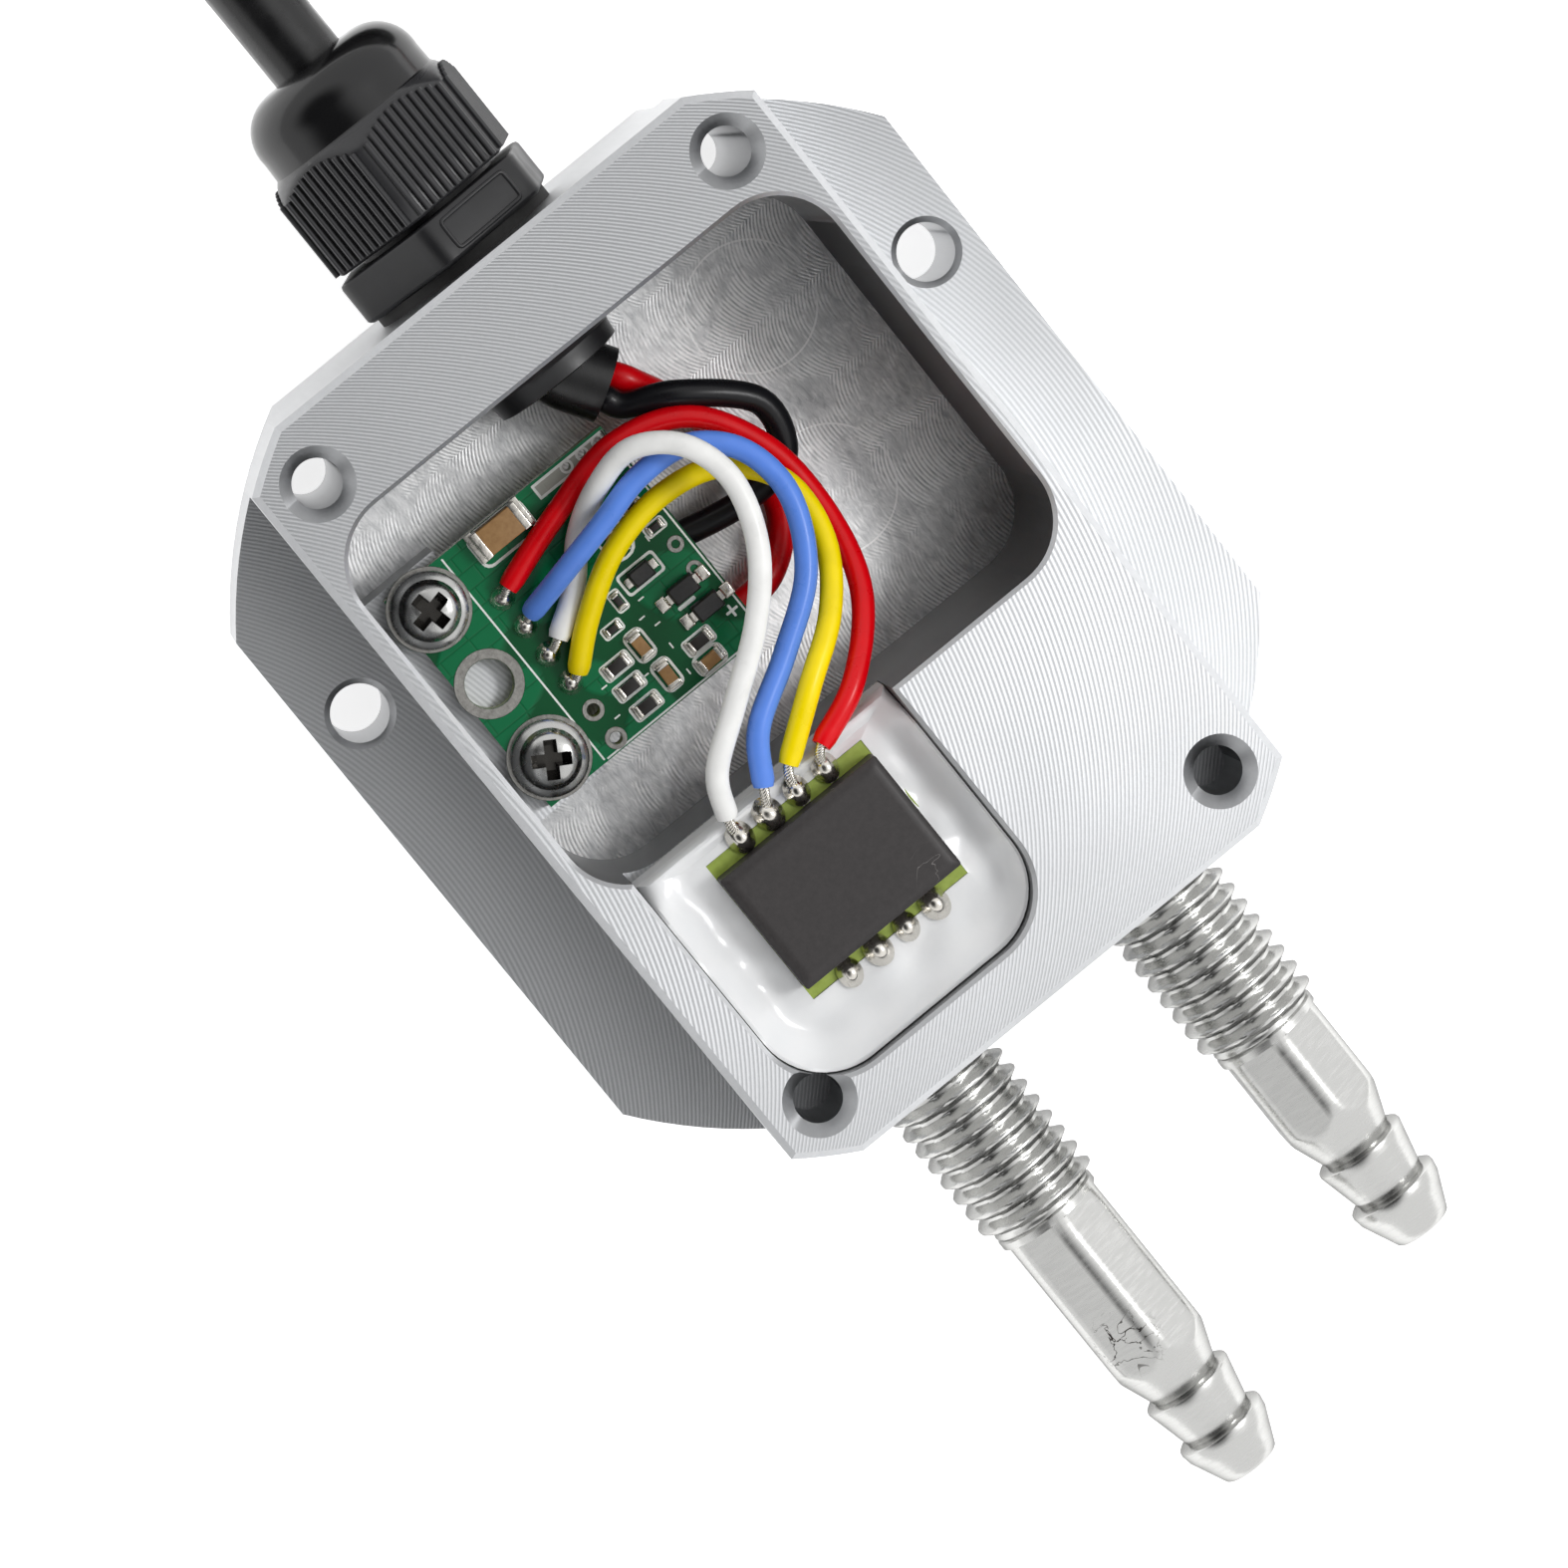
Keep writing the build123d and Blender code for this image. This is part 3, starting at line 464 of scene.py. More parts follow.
def nut_rim(angle, y, inset):
    """The hexagon, trimmed by a cone that gives each flat its arched edge."""
    cone = cone_radius - max(y - cone_start, 0) * cone_slope
    return min(hex_radius(angle - face_angle, nut_apothem - shell_inset, hex_corner), cone) - inset


rings = []
for y in (nut_start, 37.0, 37.15, 39, 41, 42.6, 42.9, 43.2, 43.5, 43.8, 44.1, 44.4, 44.7):
    inset = {nut_start: 0.25, 37.0: 0.08}.get(y, 0)
    rings.append(around(0, gland_z, y, lambda a: nut_rim(a, y, inset), 144))
for step in range(15):
    sweep = math.radians(-8 + step * 8.5)
    y, r = dome_y + dome_round * math.sin(sweep), dome_radius + dome_round * math.cos(sweep)
    rings.append(around(0, gland_z, y, r, 144))
mouth = ((49.3, 3.0), (48.2, 3.0), (47.3, 3.1), (44.5, 5.9), (43.8, 5.85), (37.0, 5.85), (nut_start, 5.95))
rings += [around(0, gland_z, y, r, 144) for y, r in mouth]

sizes = (("Pitch", "Float"), ("Flat", "Float"), ("Count", "Int"), ("Material", "Material"))
ribs, add, given = start_tree("grip ribs", ("Geometry", "Geometry"), *sizes)
round_bar = {"Vertices": 12, "Radius": rib_radius * mm, "Depth": 1.0}
bar = add("GeometryNodeMeshCylinder", round_bar, fill_type="NGON")
half = add("SUBTRACT", [given["Count"], 1])
half = add("MULTIPLY", [half, given["Pitch"]])
half = add("MULTIPLY", [half, -0.5])
first = add("CombineXYZ", {"X": half, "Z": given["Flat"]})
step = add("CombineXYZ", {"X": given["Pitch"]})
row = add("GeometryNodeMeshLine", [given["Count"], first, step])
position = add("GeometryNodeInputPosition")
reach = add("VectorMath LENGTH", [position])
longest = (cone_start - rib_start + cone_radius / cone_slope) * mm
length = add("MULTIPLY_ADD", [reach, -1 / cone_slope, longest])
middle = add("MULTIPLY_ADD", [length, 0.5, rib_start * mm])
slide = add("CombineXYZ", {"Y": middle})
stretch = add("CombineXYZ", [1.0, 1.0, length])
long = {"Geometry": row, "Name": "long", "Value": stretch}
long = add("GeometryNodeStoreNamedAttribute", long, data_type="FLOAT_VECTOR", domain="POINT")
moved = add("GeometryNodeSetPosition", {"Geometry": long, "Offset": slide})
read = add("GeometryNodeInputNamedAttribute", {"Name": "long"}, data_type="FLOAT_VECTOR")
flat = {"Points": moved, "Instance": bar, "Rotation": (math.pi / 2, 0.0, 0.0), "Scale": read}
flat = add("GeometryNodeInstanceOnPoints", flat)
flats = add("GeometryNodeMeshLine", [6, (0, 0, gland_z * mm), (0, 0, 0)])
number = add("GeometryNodeInputIndex")
turn = add("MULTIPLY_ADD", [number, math.pi / 3, gland_turn])
turn = add("CombineXYZ", {"Y": turn})
flats = add("GeometryNodeInstanceOnPoints", {"Points": flats, "Instance": flat, "Rotation": turn})
whole = add("GeometryNodeJoinGeometry", [given["Geometry"]])
set_inputs(whole, [flats])
end_tree(add, whole, given["Material"])

polished, add, shader = start_material("polished black nylon", "1c1c1e", 0.2)
haze = mottle(shader, 420.0, 4.0, bump=(0.2, 0.04))
at_y = add("SeparateXYZ", [add("TexCoord").outputs["Object"]]).outputs["Y"]
dome = add("MapRange", [at_y, 44.0 * mm, 45.0 * mm, 0.26, 0.10])
rough = add("MULTIPLY_ADD", [haze, 0.12, dome])
# The ribbed hexagon is painted a lighter black than the dome: painted sheen for the light that the rib crests
# catch.
gripped = add("LESS_THAN", [at_y, 44.6 * mm])
ribs_painted_sheen = add("Mix RGBA", [gripped, "121213", "2d2d2f"])
set_inputs(shader, {"Base Color": ribs_painted_sheen, "Roughness": rough})
sizes = {"Pitch": rib_pitch * mm, "Flat": nut_apothem * mm, "Count": rib_count, "Material": polished}
nut = run_tree(skin(rings, looped=True), ribs, sizes)
add_piece("sealing_nut_ribbed", nut, polished, "black_nylon", "sealing_nut", body="gland_nut")

# Cable. About a metre of 5.5 mm round cable with a smooth black PVC jacket. It leaves the nut straight, comes
# down to the table and is put away in a neat coil of two layers, with its two bare cores at the end.
cable_radius = 2.75
jacket, _, shader = start_material("smooth black PVC jacket", "1a1a1b", 0.33)
mottle(shader, 500.0, 5.0, 0.6, tones=("0e0e0f", "1e1e1f"), sheen=(0.35, 0.7, 0.2, 0.36), bump=(0.15, 0.05))
dress(jacket, "cable_held")

coil_x, coil_y = 30.0, 88.6
coil_turns = 5.5
turn_points = 16
# Turns done, radius and height of the coil's line.
coil_rows = [
    (0.0, 32.9, 2.75), (0.88, 32.9, 2.75), (1.0, 27.5, 2.75), (1.88, 27.5, 2.75), (2.0, 22.1, 2.75),
    (2.6, 22.1, 2.75), (2.85, 22.1, 8.2), (2.95, 22.1, 8.2), (3.15, 24.8, 7.5), (3.8, 24.8, 7.5),
    (3.88, 24.8, 8.2), (4.05, 30.2, 8.2), (4.15, 30.2, 7.5), (4.8, 30.2, 7.5), (4.88, 30.2, 8.3),
    (5.0, 30.2, 8.3), (5.12, 30.2, 7.5), (coil_turns, 30.2, 7.2),
]
cable_points = [(0, 49.8, 11), (0, 60.5, 11), (-0.7, 70.5, 8.0), (-2.0, 78.5, 3.8)]
for i in range(1, int(coil_turns * turn_points)):
    done = i / turn_points
    for (t0, r0, z0), (t1, r1, z1) in zip(coil_rows, coil_rows[1:]):
        if t0 <= done < t1:
            share = (done - t0) / (t1 - t0)
            radius, z = (r0 + (r1 - r0) * share) * 1.01, z0 + (z1 - z0) * share
    angle = math.pi - math.tau * done
    cable_points.append((coil_x + radius * math.cos(angle), coil_y + radius * math.sin(angle), z))
cable_points += [(60.2, 81.6, 6.2), (60.4, 71.6, 4.3), (59.4, 61.6, cable_radius), (56.8, 52.6, cable_radius)]
cable = round_line("cable", cable_points, cable_radius, 6, 8)
cable.data.materials.append(jacket)
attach(cable, "transmitter_body")
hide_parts("cable_lead", "cable_coil", "cable_tail")

# Cable cores. Two stranded conductors in red and black PVC that come out of the cut jacket and lie spread on
# the table. The wires inside the housing have the same soft, slightly glossy insulation, in five colours.
insulations = {}
hues = {"red": "e0000f", "black": "17171a", "blue": "5f8ce6", "white": "efefed", "yellow": "f9de00"}
for name, colour in hues.items():
    insulations[name], add, shader = start_material(name + " PVC insulation", colour, 0.3)
    patchy = mottle(shader, 380.0, 4.0, sheen=(0.3, 0.7, 0.24, 0.38), bump=(0.2, 0.03))
    bright = add("MapRange", [patchy, 0.25, 0.75, 0.9, 1.06])
    tinted = add("HueSaturation", {"Value": bright, "Color": colour})
    set_inputs(shader, {"Base Color": tinted, "Specular IOR Level": 0.28})

tail, before = Vector(cable_points[-1]), Vector(cable_points[-2])
run = (tail - before).normalized()
across = Vector((-run.y, run.x, 0))
drop = Vector((0, 0, 1.75))
for colour, side in (("red", 1), ("black", -1)):
    start = tail + across * side * 1.1
    points = [
        start - run * 1.0,
        start + run * 5,
        start + run * 11 + across * side * 1.6 - drop,
        start + run * 16.6 + across * side * 2.4 - drop,
    ]
    core = bent_bar(points, 1.0, resolution=10)
    add_piece("core_" + colour, core, insulations[colour], colour + "_insulation", "cable_core_" + colour)

# Circuit board. Glass epoxy, 1.6 mm thick, with bare fibre at its edges and a glossy green solder mask, darker
# where no copper lies under it. Dull rings of levelled tin lie round the screws, the spare hole and the plated
# wire holes, and thin outlines in matt white ink round the parts.
board_top = 12.0
pad_places = [(-12.9, 12.5 - row * 2.54) for row in range(6)]
screw_places = [(-17.4, 15.1), (-17.4, 1.7)]
spare_hole = (-17.4, 8.4)
small_capacitor_places = [(-7.5, 3.8, 90), (-7.3, 1.0, 90), (-4.3, -0.1, 0)]
ringed_capacitor_place = (-4.3, 10.7, 90)
resistor_places = [(-9.7, 3.7), (-9.9, 2.0), (-9.8, 0.2), (-4.1, 1.4)]
tiny_resistor_places = [(-6.75, 7.2, 90), (-1.5, 9.6), (-1.9, 11.7), (-8.3, 5.9)]
transistor_places = [(-2.7, 5.0), (-2.1, 3.0)]
diode_place = (-4.3, 7.7)
tick_places = [
    (-9.1, 13.6, 20), (-10.4, 13.4, 90), (-9.9, 7.3, 20), (-5.4, 6.3), (-5.6, 4.2), (-11.4, 5.6, 90),
    (-11.3, 3.1), (-5.8, 2.4, 90), (-5.7, 8.9, 20), (-6.2, 5.2), (-11.9, 0.9), (-6.0, 0.2, 90),
    (-8.5, 1.9), (-2.4, 9.3, 90), (-7.1, 8.4),
]
green, add, shader = start_material("green solder mask", "0a5f38", 0.22)
place = add("TexCoord")
spot = place.outputs["Object"]
at_x, at_y, _ = add("SeparateXYZ", [spot]).outputs
facing = add("SeparateXYZ", [place.outputs["Normal"]]).outputs["Z"]
tracks = {"Vector": spot, "Scale": 1.0, "Mortar Size": 0.1 * mm, "Mortar Smooth": 0.8}
tracks |= {"Brick Width": 2.6 * mm, "Row Height": 1.3 * mm}
tracks = add("TexBrick", tracks, offset=0.37, squash=1.6, squash_frequency=3)
pour = add("MapRange", [add("TexNoise", [spot, 190.0, 0.5]), 0.48, 0.52])
gaps = add("MULTIPLY", [tracks.outputs["Fac"], 0.5])
copper = add("SUBTRACT", [pour, gaps], use_clamp=True)
masked = add("Mix RGBA", [copper, "00502a", "047043"])
strip_x = add("COMPARE", [at_x, -3.3 * mm, 3.2 * mm])
strip_y = add("COMPARE", [at_y, 16.7 * mm, 0.6 * mm])
strip = add("MULTIPLY", [strip_x, strip_y])
masked = add("Mix RGBA", [strip, masked, "a9aba2"])
edge = add("LESS_THAN", [facing, 0.5])
fibre = add("Mix RGBA", [edge, masked, "8f9a63"])
raised = add("Bump", {"Height": copper, "Strength": 0.5, "Distance": 0.03 * mm})
set_inputs(shader, {"Base Color": fibre, "Normal": raised, "Specular IOR Level": 0.28})
dress(green, "circuit_board")

sizes = (("Size play", "Float"), ("Turn play", "Float"), ("Seed", "Int"), ("Material", "Material"))
copies, add, given = start_tree("copies on places", ("Places", "Geometry"), ("Master", "Object"), *sizes)
master = add("GeometryNodeObjectInfo", {"Object": given["Master"]}).outputs["Geometry"]
least = add("SUBTRACT", [1.0, given["Size play"]])
most = add("ADD", [1.0, given["Size play"]])
size = add("FunctionNodeRandomValue", {"Min": least, "Max": most, "Seed": given["Seed"]})
back = add("MULTIPLY", [given["Turn play"], -1.0])
swing = {"Min": back, "Max": given["Turn play"], "Seed": given["Seed"]}
swing = add("FunctionNodeRandomValue", swing)
turn = add("GeometryNodeInputNamedAttribute", {"Name": "turn"})
turn = add("ADD", [turn, swing])
turn = add("CombineXYZ", {"Z": turn})
filled = {"Points": given["Places"], "Instance": master, "Rotation": turn, "Scale": size}
filled = add("GeometryNodeInstanceOnPoints", filled)
end_tree(add, filled, given["Material"])


def repeat(master, places, material, size_play=0.0, turn_play=0.0, seed=1):
    """Copies of one mesh, set on places (x, y, z, turn) in mm and degrees by the tree, as one mesh."""
    points = bpy.data.meshes.new("places")
    points.from_pydata([[c * mm for c in place[:3]] for place in places], [], [])
    attribute = points.attributes.new("turn", "FLOAT", "POINT")
    for item, place in zip(attribute.data, places):
        item.value = math.radians(place[3])
    pattern = in_scene("master", master)
    values = {"Master": pattern, "Size play": size_play, "Turn play": math.radians(turn_play)}
    made = run_tree(points, copies, values | {"Seed": seed, "Material": material})
    bpy.data.objects.remove(pattern)
    return made


def on_board(material, *sets):
    """Copies of meshes, each with its places (x, y) or (x, y, turn) on the board's face, as one mesh.

    A third item in a set is a seed, and lets its copies lie up to 3 degrees askew.
    """
    made = []
    for mesh, places, *seed in sets:
        spots = [(x, y, board_top, turn[0] if turn else 0) for x, y, *turn in places]
        askew = {"turn_play": 3, "seed": seed[0]} if seed else {}
        made.append(repeat(mesh, spots, material, **askew))
    return joined(*made)


def level_ring(radius, z, columns, stretch=1.0):
    """A ring of points about the Z axis, stretched along Y."""
    return [(u, v * stretch, z) for u, v in circle(radius, columns)]


def washer(outer, inner, top, bead=0.03):
    """A flat ring with rounded edges, in mm, standing on the origin's plane."""
    edges = [(inner, 0), (outer, 0), (outer, top - bead), (outer - bead, top), (inner + bead, top)]
    return skin([level_ring(r, z, 48) for r, z in edges + [(inner, top - bead)]], looped=True)


def rounded_outline(width, length, corner, steps=4):
    """Points round a rectangle with rounded corners about the origin."""
    points = []
    for quarter, (sx, sy) in enumerate(((1, 1), (-1, 1), (-1, -1), (1, -1))):
        for i in range(steps + 1):
            a = math.pi / 2 * (quarter + i / steps)
            x, y = sx * (width / 2 - corner), sy * (length / 2 - corner)
            points.append((x + corner * math.cos(a), y + corner * math.sin(a)))
    return points


def stack(levels, looped=False):
    """A skin through outlines (x, y), each at its height."""
    return skin([[(x, y, z) for x, y in outline] for outline, z in levels], looped)


def printed_frame(width, length, corner=0.3, line=0.2):
    """A thin printed outline, standing just proud of the board."""
    outer = rounded_outline(width, length, corner)
    inner = rounded_outline(width - 2 * line, length - 2 * line, corner - line / 2)
    return stack([(inner, 0), (outer, 0), (outer, 0.02), (inner, 0.02)], looped=True)


def printed_bar(length, width=0.14):
    """A thin printed bar along X."""
    return stack([(rounded_outline(length, width, width * 0.4), z) for z in (0, 0.02)])


levelled, _, shader = start_material("levelled tin", "8e8c88", 0.34, 1.0)
mottle(shader, 3200.0, 4.0, 0.7, tones=("64625e", "c6c4bf"), bump=(0.6, 0.04))
rings = on_board(
    levelled,
    (washer(3.05, 1.8, 0.05), screw_places),
    (washer(2.5, 1.76, 0.05), [spare_hole]),
    (washer(0.62, 0.3, 0.06), [(-1.1, 7.75), (-1.15, 5.55)]),
    (washer(0.8, 0.46, 0.06), pad_places),
)
add_piece("board_rings", rings, levelled, "solder_tin")

ink, _, shader = start_material("white legend ink", "edf1ec", 0.55)
mottle(shader, 2500.0, 3.0, tones=("dde5de", "fbfcfa"))
plus = [(-0.95, 1.6, board_top, 0), (-0.95, 1.6, board_top + 0.004, 90)]
prints = on_board(
    ink,
    (printed_bar(18.2), [(-14.5, 8.2, 90), (-0.2, 8.2, 90)]),
    (printed_bar(13.8), [(-7.4, -0.95)]),
    (printed_frame(2.55, 1.65, 0.55), small_capacitor_places),
    (printed_frame(2.5, 1.35), resistor_places),
    (printed_frame(1.75, 1.0, 0.25, 0.14), tiny_resistor_places),
    (washer(0.5, 0.31, 0.03), [(-3.65 + 1.4 * i, 16.8) for i in range(3)]),
    (printed_frame(4.9, 2.9, 0.7), [(-10.1, 16.0)]),
    (printed_frame(3.2, 2.3, 1.0), [ringed_capacitor_place]),
    (printed_frame(3.3, 1.8), [diode_place]),
    (printed_bar(1.5, 0.3), [(-3.1, 4.0)]),
    (printed_frame(6.4, 1.2, 0.1), [(-3.3, 16.7)]),
    (printed_bar(0.5, 0.12), tick_places),
)
prints = joined(prints, repeat(printed_bar(1.0, 0.2), plus, ink))
add_piece("board_prints", prints, ink, "white_insulation")

# Board screws. M3 pan heads of bright steel with a cross recess, turned home by hand, so their recesses
# point different ways. The recess is painted dark as shade. The shallow dome stands on a silver rim.
recess_reach, head_top = 1.62 * mm, 13.72 * mm
head_profile = [
    (0.0, 2.0), (0.8, 1.98), (1.35, 1.9), (1.75, 1.74), (1.98, 1.5), (2.1, 1.25), (2.2, 1.1), (2.4, 1.0),
    (2.6, 0.9), (2.74, 0.76), (2.8, 0.5), (2.78, 0.0), (1.45, 0.0), (1.45, -5.2), (0.95, -5.7), (0.0, -5.7),
]
# The steel is painted dark inside the screws' cross recesses: painted shade.
add = partial(add_node, steel.node_tree)
spot = add("TexCoord").outputs["Object"]
at_x, at_y, at_z = add("SeparateXYZ", [spot]).outputs
flat = add("CombineXYZ", [at_x, at_y])
away = [add("VectorMath DISTANCE", [flat, (x * mm, y * mm, 0)]) for x, y in screw_places]
nearer = add("MINIMUM", away)
inside = add("LESS_THAN", [nearer, recess_reach])
sunk = add("LESS_THAN", [at_z, head_top])
recess_painted_shade = add("MULTIPLY", [inside, sunk])
tone = add("Mix RGBA", [recess_painted_shade, "babab8", "4d4b48"])
set_inputs(steel.node_tree.nodes["Principled BSDF"], {"Base Color": tone})

slots = []
for width, length, narrow, short in ((0.5, 1.6, 0.7, 0.55), (1.6, 0.5, 0.55, 0.7)):
    corners = [(x * width, y * length) for x, y in ((1, 1), (-1, 1), (-1, -1), (1, -1))]
    slots.append(skin([[(x, y, 2.4) for x, y in corners], [(x * narrow, y * short, 0.1) for x, y in corners]]))
punch = in_scene("recess", joined(*slots))
blank = in_scene("blank", skin([level_ring(r, z, 64) if r else [(0, 0, z)] for r, z in head_profile]))
cutting = blank.modifiers.new("recess", "BOOLEAN")
cutting.operation = "DIFFERENCE"
cutting.object = punch
cutting.solver = "EXACT"
cutting.use_self = True
screw = evaluated(blank)
bpy.data.objects.remove(punch)
screw.shade_smooth()
screw.set_sharp_from_angle(angle=math.radians(28))
turns = ((12, screw_places[0]), (58, screw_places[1]))
screws = repeat(screw, [(*place, board_top, turn) for turn, place in turns], steel)
add_piece("board_screws_recessed", screws, steel, "steel", "board_screws")

# Chip capacitors and resistors. Fired ceramic blocks with tinned metal caps over both ends, standing in small
# fillets of solder: one large and four small tan capacitors, four flat black resistors and four tiny ones.
# The tan ceramic is matt and speckled, the black glaze smoother, and the tin bright and a little uneven.
tan, _, shader = start_material("tan fired ceramic", "8d6a45", 0.5)
mottle(shader, 2600.0, 4.0, tones=("835c31", "ab8553"), bump=(0.3, 0.02))
glaze, _, shader = start_material("black resistor glaze", "171413", 0.28)
mottle(shader, 1900.0, 3.0, tones=("0f0d0c", "2a2421"))
tin, _, shader = start_material("tin solder", "dedad2", 0.2, 1.0)
mottle(shader, 1500.0, 4.0, sheen=(0.35, 0.7, 0.13, 0.34), bump=(0.5, 0.06))


def soft_block(length, width, height, lift=0.0, soft=0.12, shift=0.0):
    """A block with softened edges, standing on the origin's plane."""
    block = bmesh.new()
    bmesh.ops.create_cube(block, size=1.0)
    for vertex in block.verts:
        x, y, z = vertex.co
        vertex.co = Vector((x * length + shift, y * width, (z + 0.5) * height + lift)) * mm
    bmesh.ops.bevel(block, geom=list(block.edges), offset=soft * mm, segments=3, affect="EDGES", profile=0.6)
    return finished(block)


def end_caps(length, width, height, cap):
    """The tinned caps of a chip and the solder that creeps out from under them."""
    caps = []
    for side in (-1, 1):
        over, foot = side * (length / 2 - cap / 2 + 0.02), side * (length / 2 + cap * 0.12)
        caps.append(soft_block(cap, width + 0.06, height + 0.05, 0.0, 0.1, over))
        caps.append(soft_block(cap * 1.2, width + 0.3, height * 0.3, -0.02, 0.08, foot))
    return joined(*caps)


small_places = small_capacitor_places + [ringed_capacitor_place]
large_place = [(-10.1, 16.35)]
small_seed, resistor_seed = 4, 6
large = on_board(tan, (soft_block(3.1, 2.05, 1.5), large_place))
add_piece("large_capacitor_body", large, tan, "tan_ceramic", "large_capacitor")
small = on_board(tan, (soft_block(1.3, 0.9, 0.8, soft=0.08), small_places, small_seed))
add_piece("small_capacitor_bodies", small, tan, "tan_ceramic", "small_capacitors")
flat_chips = on_board(
    glaze,
    (soft_block(1.25, 0.84, 0.5, soft=0.06), resistor_places, resistor_seed),
    (soft_block(0.75, 0.5, 0.34, soft=0.05), tiny_resistor_places),
)
add_piece("resistor_bodies", flat_chips, glaze, "dark_ceramic", "resistors")
caps = on_board(
    tin,
    (end_caps(3.9, 2.1, 1.5, 0.55), large_place),
    (end_caps(1.8, 0.92, 0.8, 0.34), small_places, small_seed),
    (end_caps(1.7, 0.85, 0.5, 0.3), resistor_places, resistor_seed),
    (end_caps(1.05, 0.5, 0.34, 0.22), tiny_resistor_places),
)
add_piece("chip_end_caps", caps, tin, "solder_tin")

# Transistors and diode. Black epoxy packages with a shallow draft on their sides and a faint grain, on flat
# tinned leads that are bent down to the board and soldered.
epoxy, _, shader = start_material("black epoxy moulding", "1a1919", 0.45)
mottle(shader, 4200.0, 3.0, tones=("121111", "2b2a2a"), bump=(0.25, 0.02))


def package(length, width, height, draft=0.12):
    """A moulded package: two tapered halves that meet at the mould's parting line."""
    levels = ((0.1, 1), (0.1 + height * 0.45, 0), (height - 0.02, 0.8), (height + 0.08, 1.4))
    insets = [(2 * draft * share, z) for z, share in levels]
    return stack([(rounded_outline(length - inset, width - inset, 0.12), z) for inset, z in insets])


def gull_wing(side, start=1.0, reach=1.0, width=0.7, thick=0.12):
    """A flat lead that leaves the package, bends down and lies on its pad."""
    line = [(0, 0.55), (0.35, 0.55), (0.5, 0.42), (0.58, 0.16), (0.72, 0.08), (reach, 0.08)]
    section = ((-width / 2, 0), (width / 2, 0), (width / 2, thick), (-width / 2, thick))
    return skin([[(side * (x + start), y, z - drop) for y, drop in section] for x, z in line])


wide_leads = []
for side in (-1, 1):
    wide_leads += [gull_wing(side), soft_block(0.85, 1.05, 0.34, -0.01, 0.14, side * 1.78)]
diode_leads = [soft_block(0.6, 0.7, 0.3, 0.0, 0.05, side * 1.05) for side in (-1, 1)]
transistors = on_board(epoxy, (package(2.2, 1.45, 1.1), transistor_places))
add_piece("transistor_packages", transistors, epoxy, "black_moulding", "transistors")
diode = on_board(epoxy, (package(1.8, 1.3, 0.9), [diode_place]))
add_piece("diode_package", diode, epoxy, "black_moulding", "diode")
leads = on_board(tin, (joined(*wide_leads), transistor_places), (joined(*diode_leads), [diode_place]))
add_piece("package_leads_bent", leads, tin, "solder_tin", "package_leads")

# Pressure sensor. A green glass-epoxy carrier with a black moulded cap glued on it. Along both long edges the
# bare carrier shows in olive strips between eight soldered leads. The cap's skin is blasted, with one scratch.
sensor_x, sensor_y = -6.9, -16.3
carrier, _, shader = start_material("olive carrier board", "8a9c3c", 0.45)
mottle(shader, 1400.0, 3.0, tones=("83992f", "b4c75e"), bump=(0.3, 0.03))
dress(carrier, "sensor_plate", "sensor_ports")

cap_black, add, shader = start_material("matt black sensor cap", "2b2828", 0.5)
powder = mottle(shader, 2400.0, 5.0, 0.65, bump=(0.35, 0.02))
powdered = add("Mix RGBA", [powder, "211e1e", "383434"])
spot = add("TexCoord").outputs["Object"]
crazed = add("TexNoise", [spot, 240.0, 2.0, 0.5, lacunarity, 2.5])
scratch = hairlines(add, crazed, 0.004, (-1.8, -20.0, 21.0), 0.9, 1.7, 0.5)
marked = add("Mix RGBA", [scratch, powdered, "8d8987"])
set_inputs(shader, {"Base Color": marked})
# Height, inset and corner radius. The innermost ring keeps the smooth shading off the flat top.
cap_levels = (
    (18.6, 0.0, 0.2), (20.65, 0.0, 0.2), (20.8, 0.1, 0.25),
    (20.95, 0.38, 0.3), (21.0, 0.5, 0.3), (21.0, 0.9, 0.3),
)
rings = []
for z, inset, corner in cap_levels:
    outline = rounded_outline(13.85 - 2 * inset, 9.8 - 2 * inset, corner)
    rings.append([(sensor_x + x, sensor_y + y, z) for x, y in outline])
add_piece("sensor_cap_moulded", skin(rings), cap_black, "black_moulding", "sensor_cap")

# Sensor leads. Eight flat tinned strips that come out of the cap's foot, run over the carrier and fold down
# over its edge. They stand 2.54 mm apart.
carrier_top = 18.6
lead_columns = [-10.71, -8.17, -5.63, -3.09]
lead_half_width = 0.35
lead_line = [(4.98, 0.25), (6.75, 0.25), (6.95, 0.2), (7.0, 0.0), (7.0, -1.2)]
lead_under = [(0.0, -0.25), (0.0, -0.25), (-0.12, -0.22), (-0.25, -0.02), (-0.25, 0.0)]
strips = []
for column in lead_columns:
    left, right = column - lead_half_width, column + lead_half_width
    section = ((left, 0), (right, 0), (right, 1), (left, 1))
    for side in (1, -1):
        rings = []
        for (reach, z), (dx, dz) in zip(lead_line, lead_under):
            ring = [(x, reach + low * dx, z + low * dz) for x, low in section]
            rings.append([(x, sensor_y + side * out, carrier_top + height) for x, out, height in ring])
        strips.append(skin(rings))
add_piece("sensor_leads_folded", joined(*strips), tin, "solder_tin", "sensor_leads")

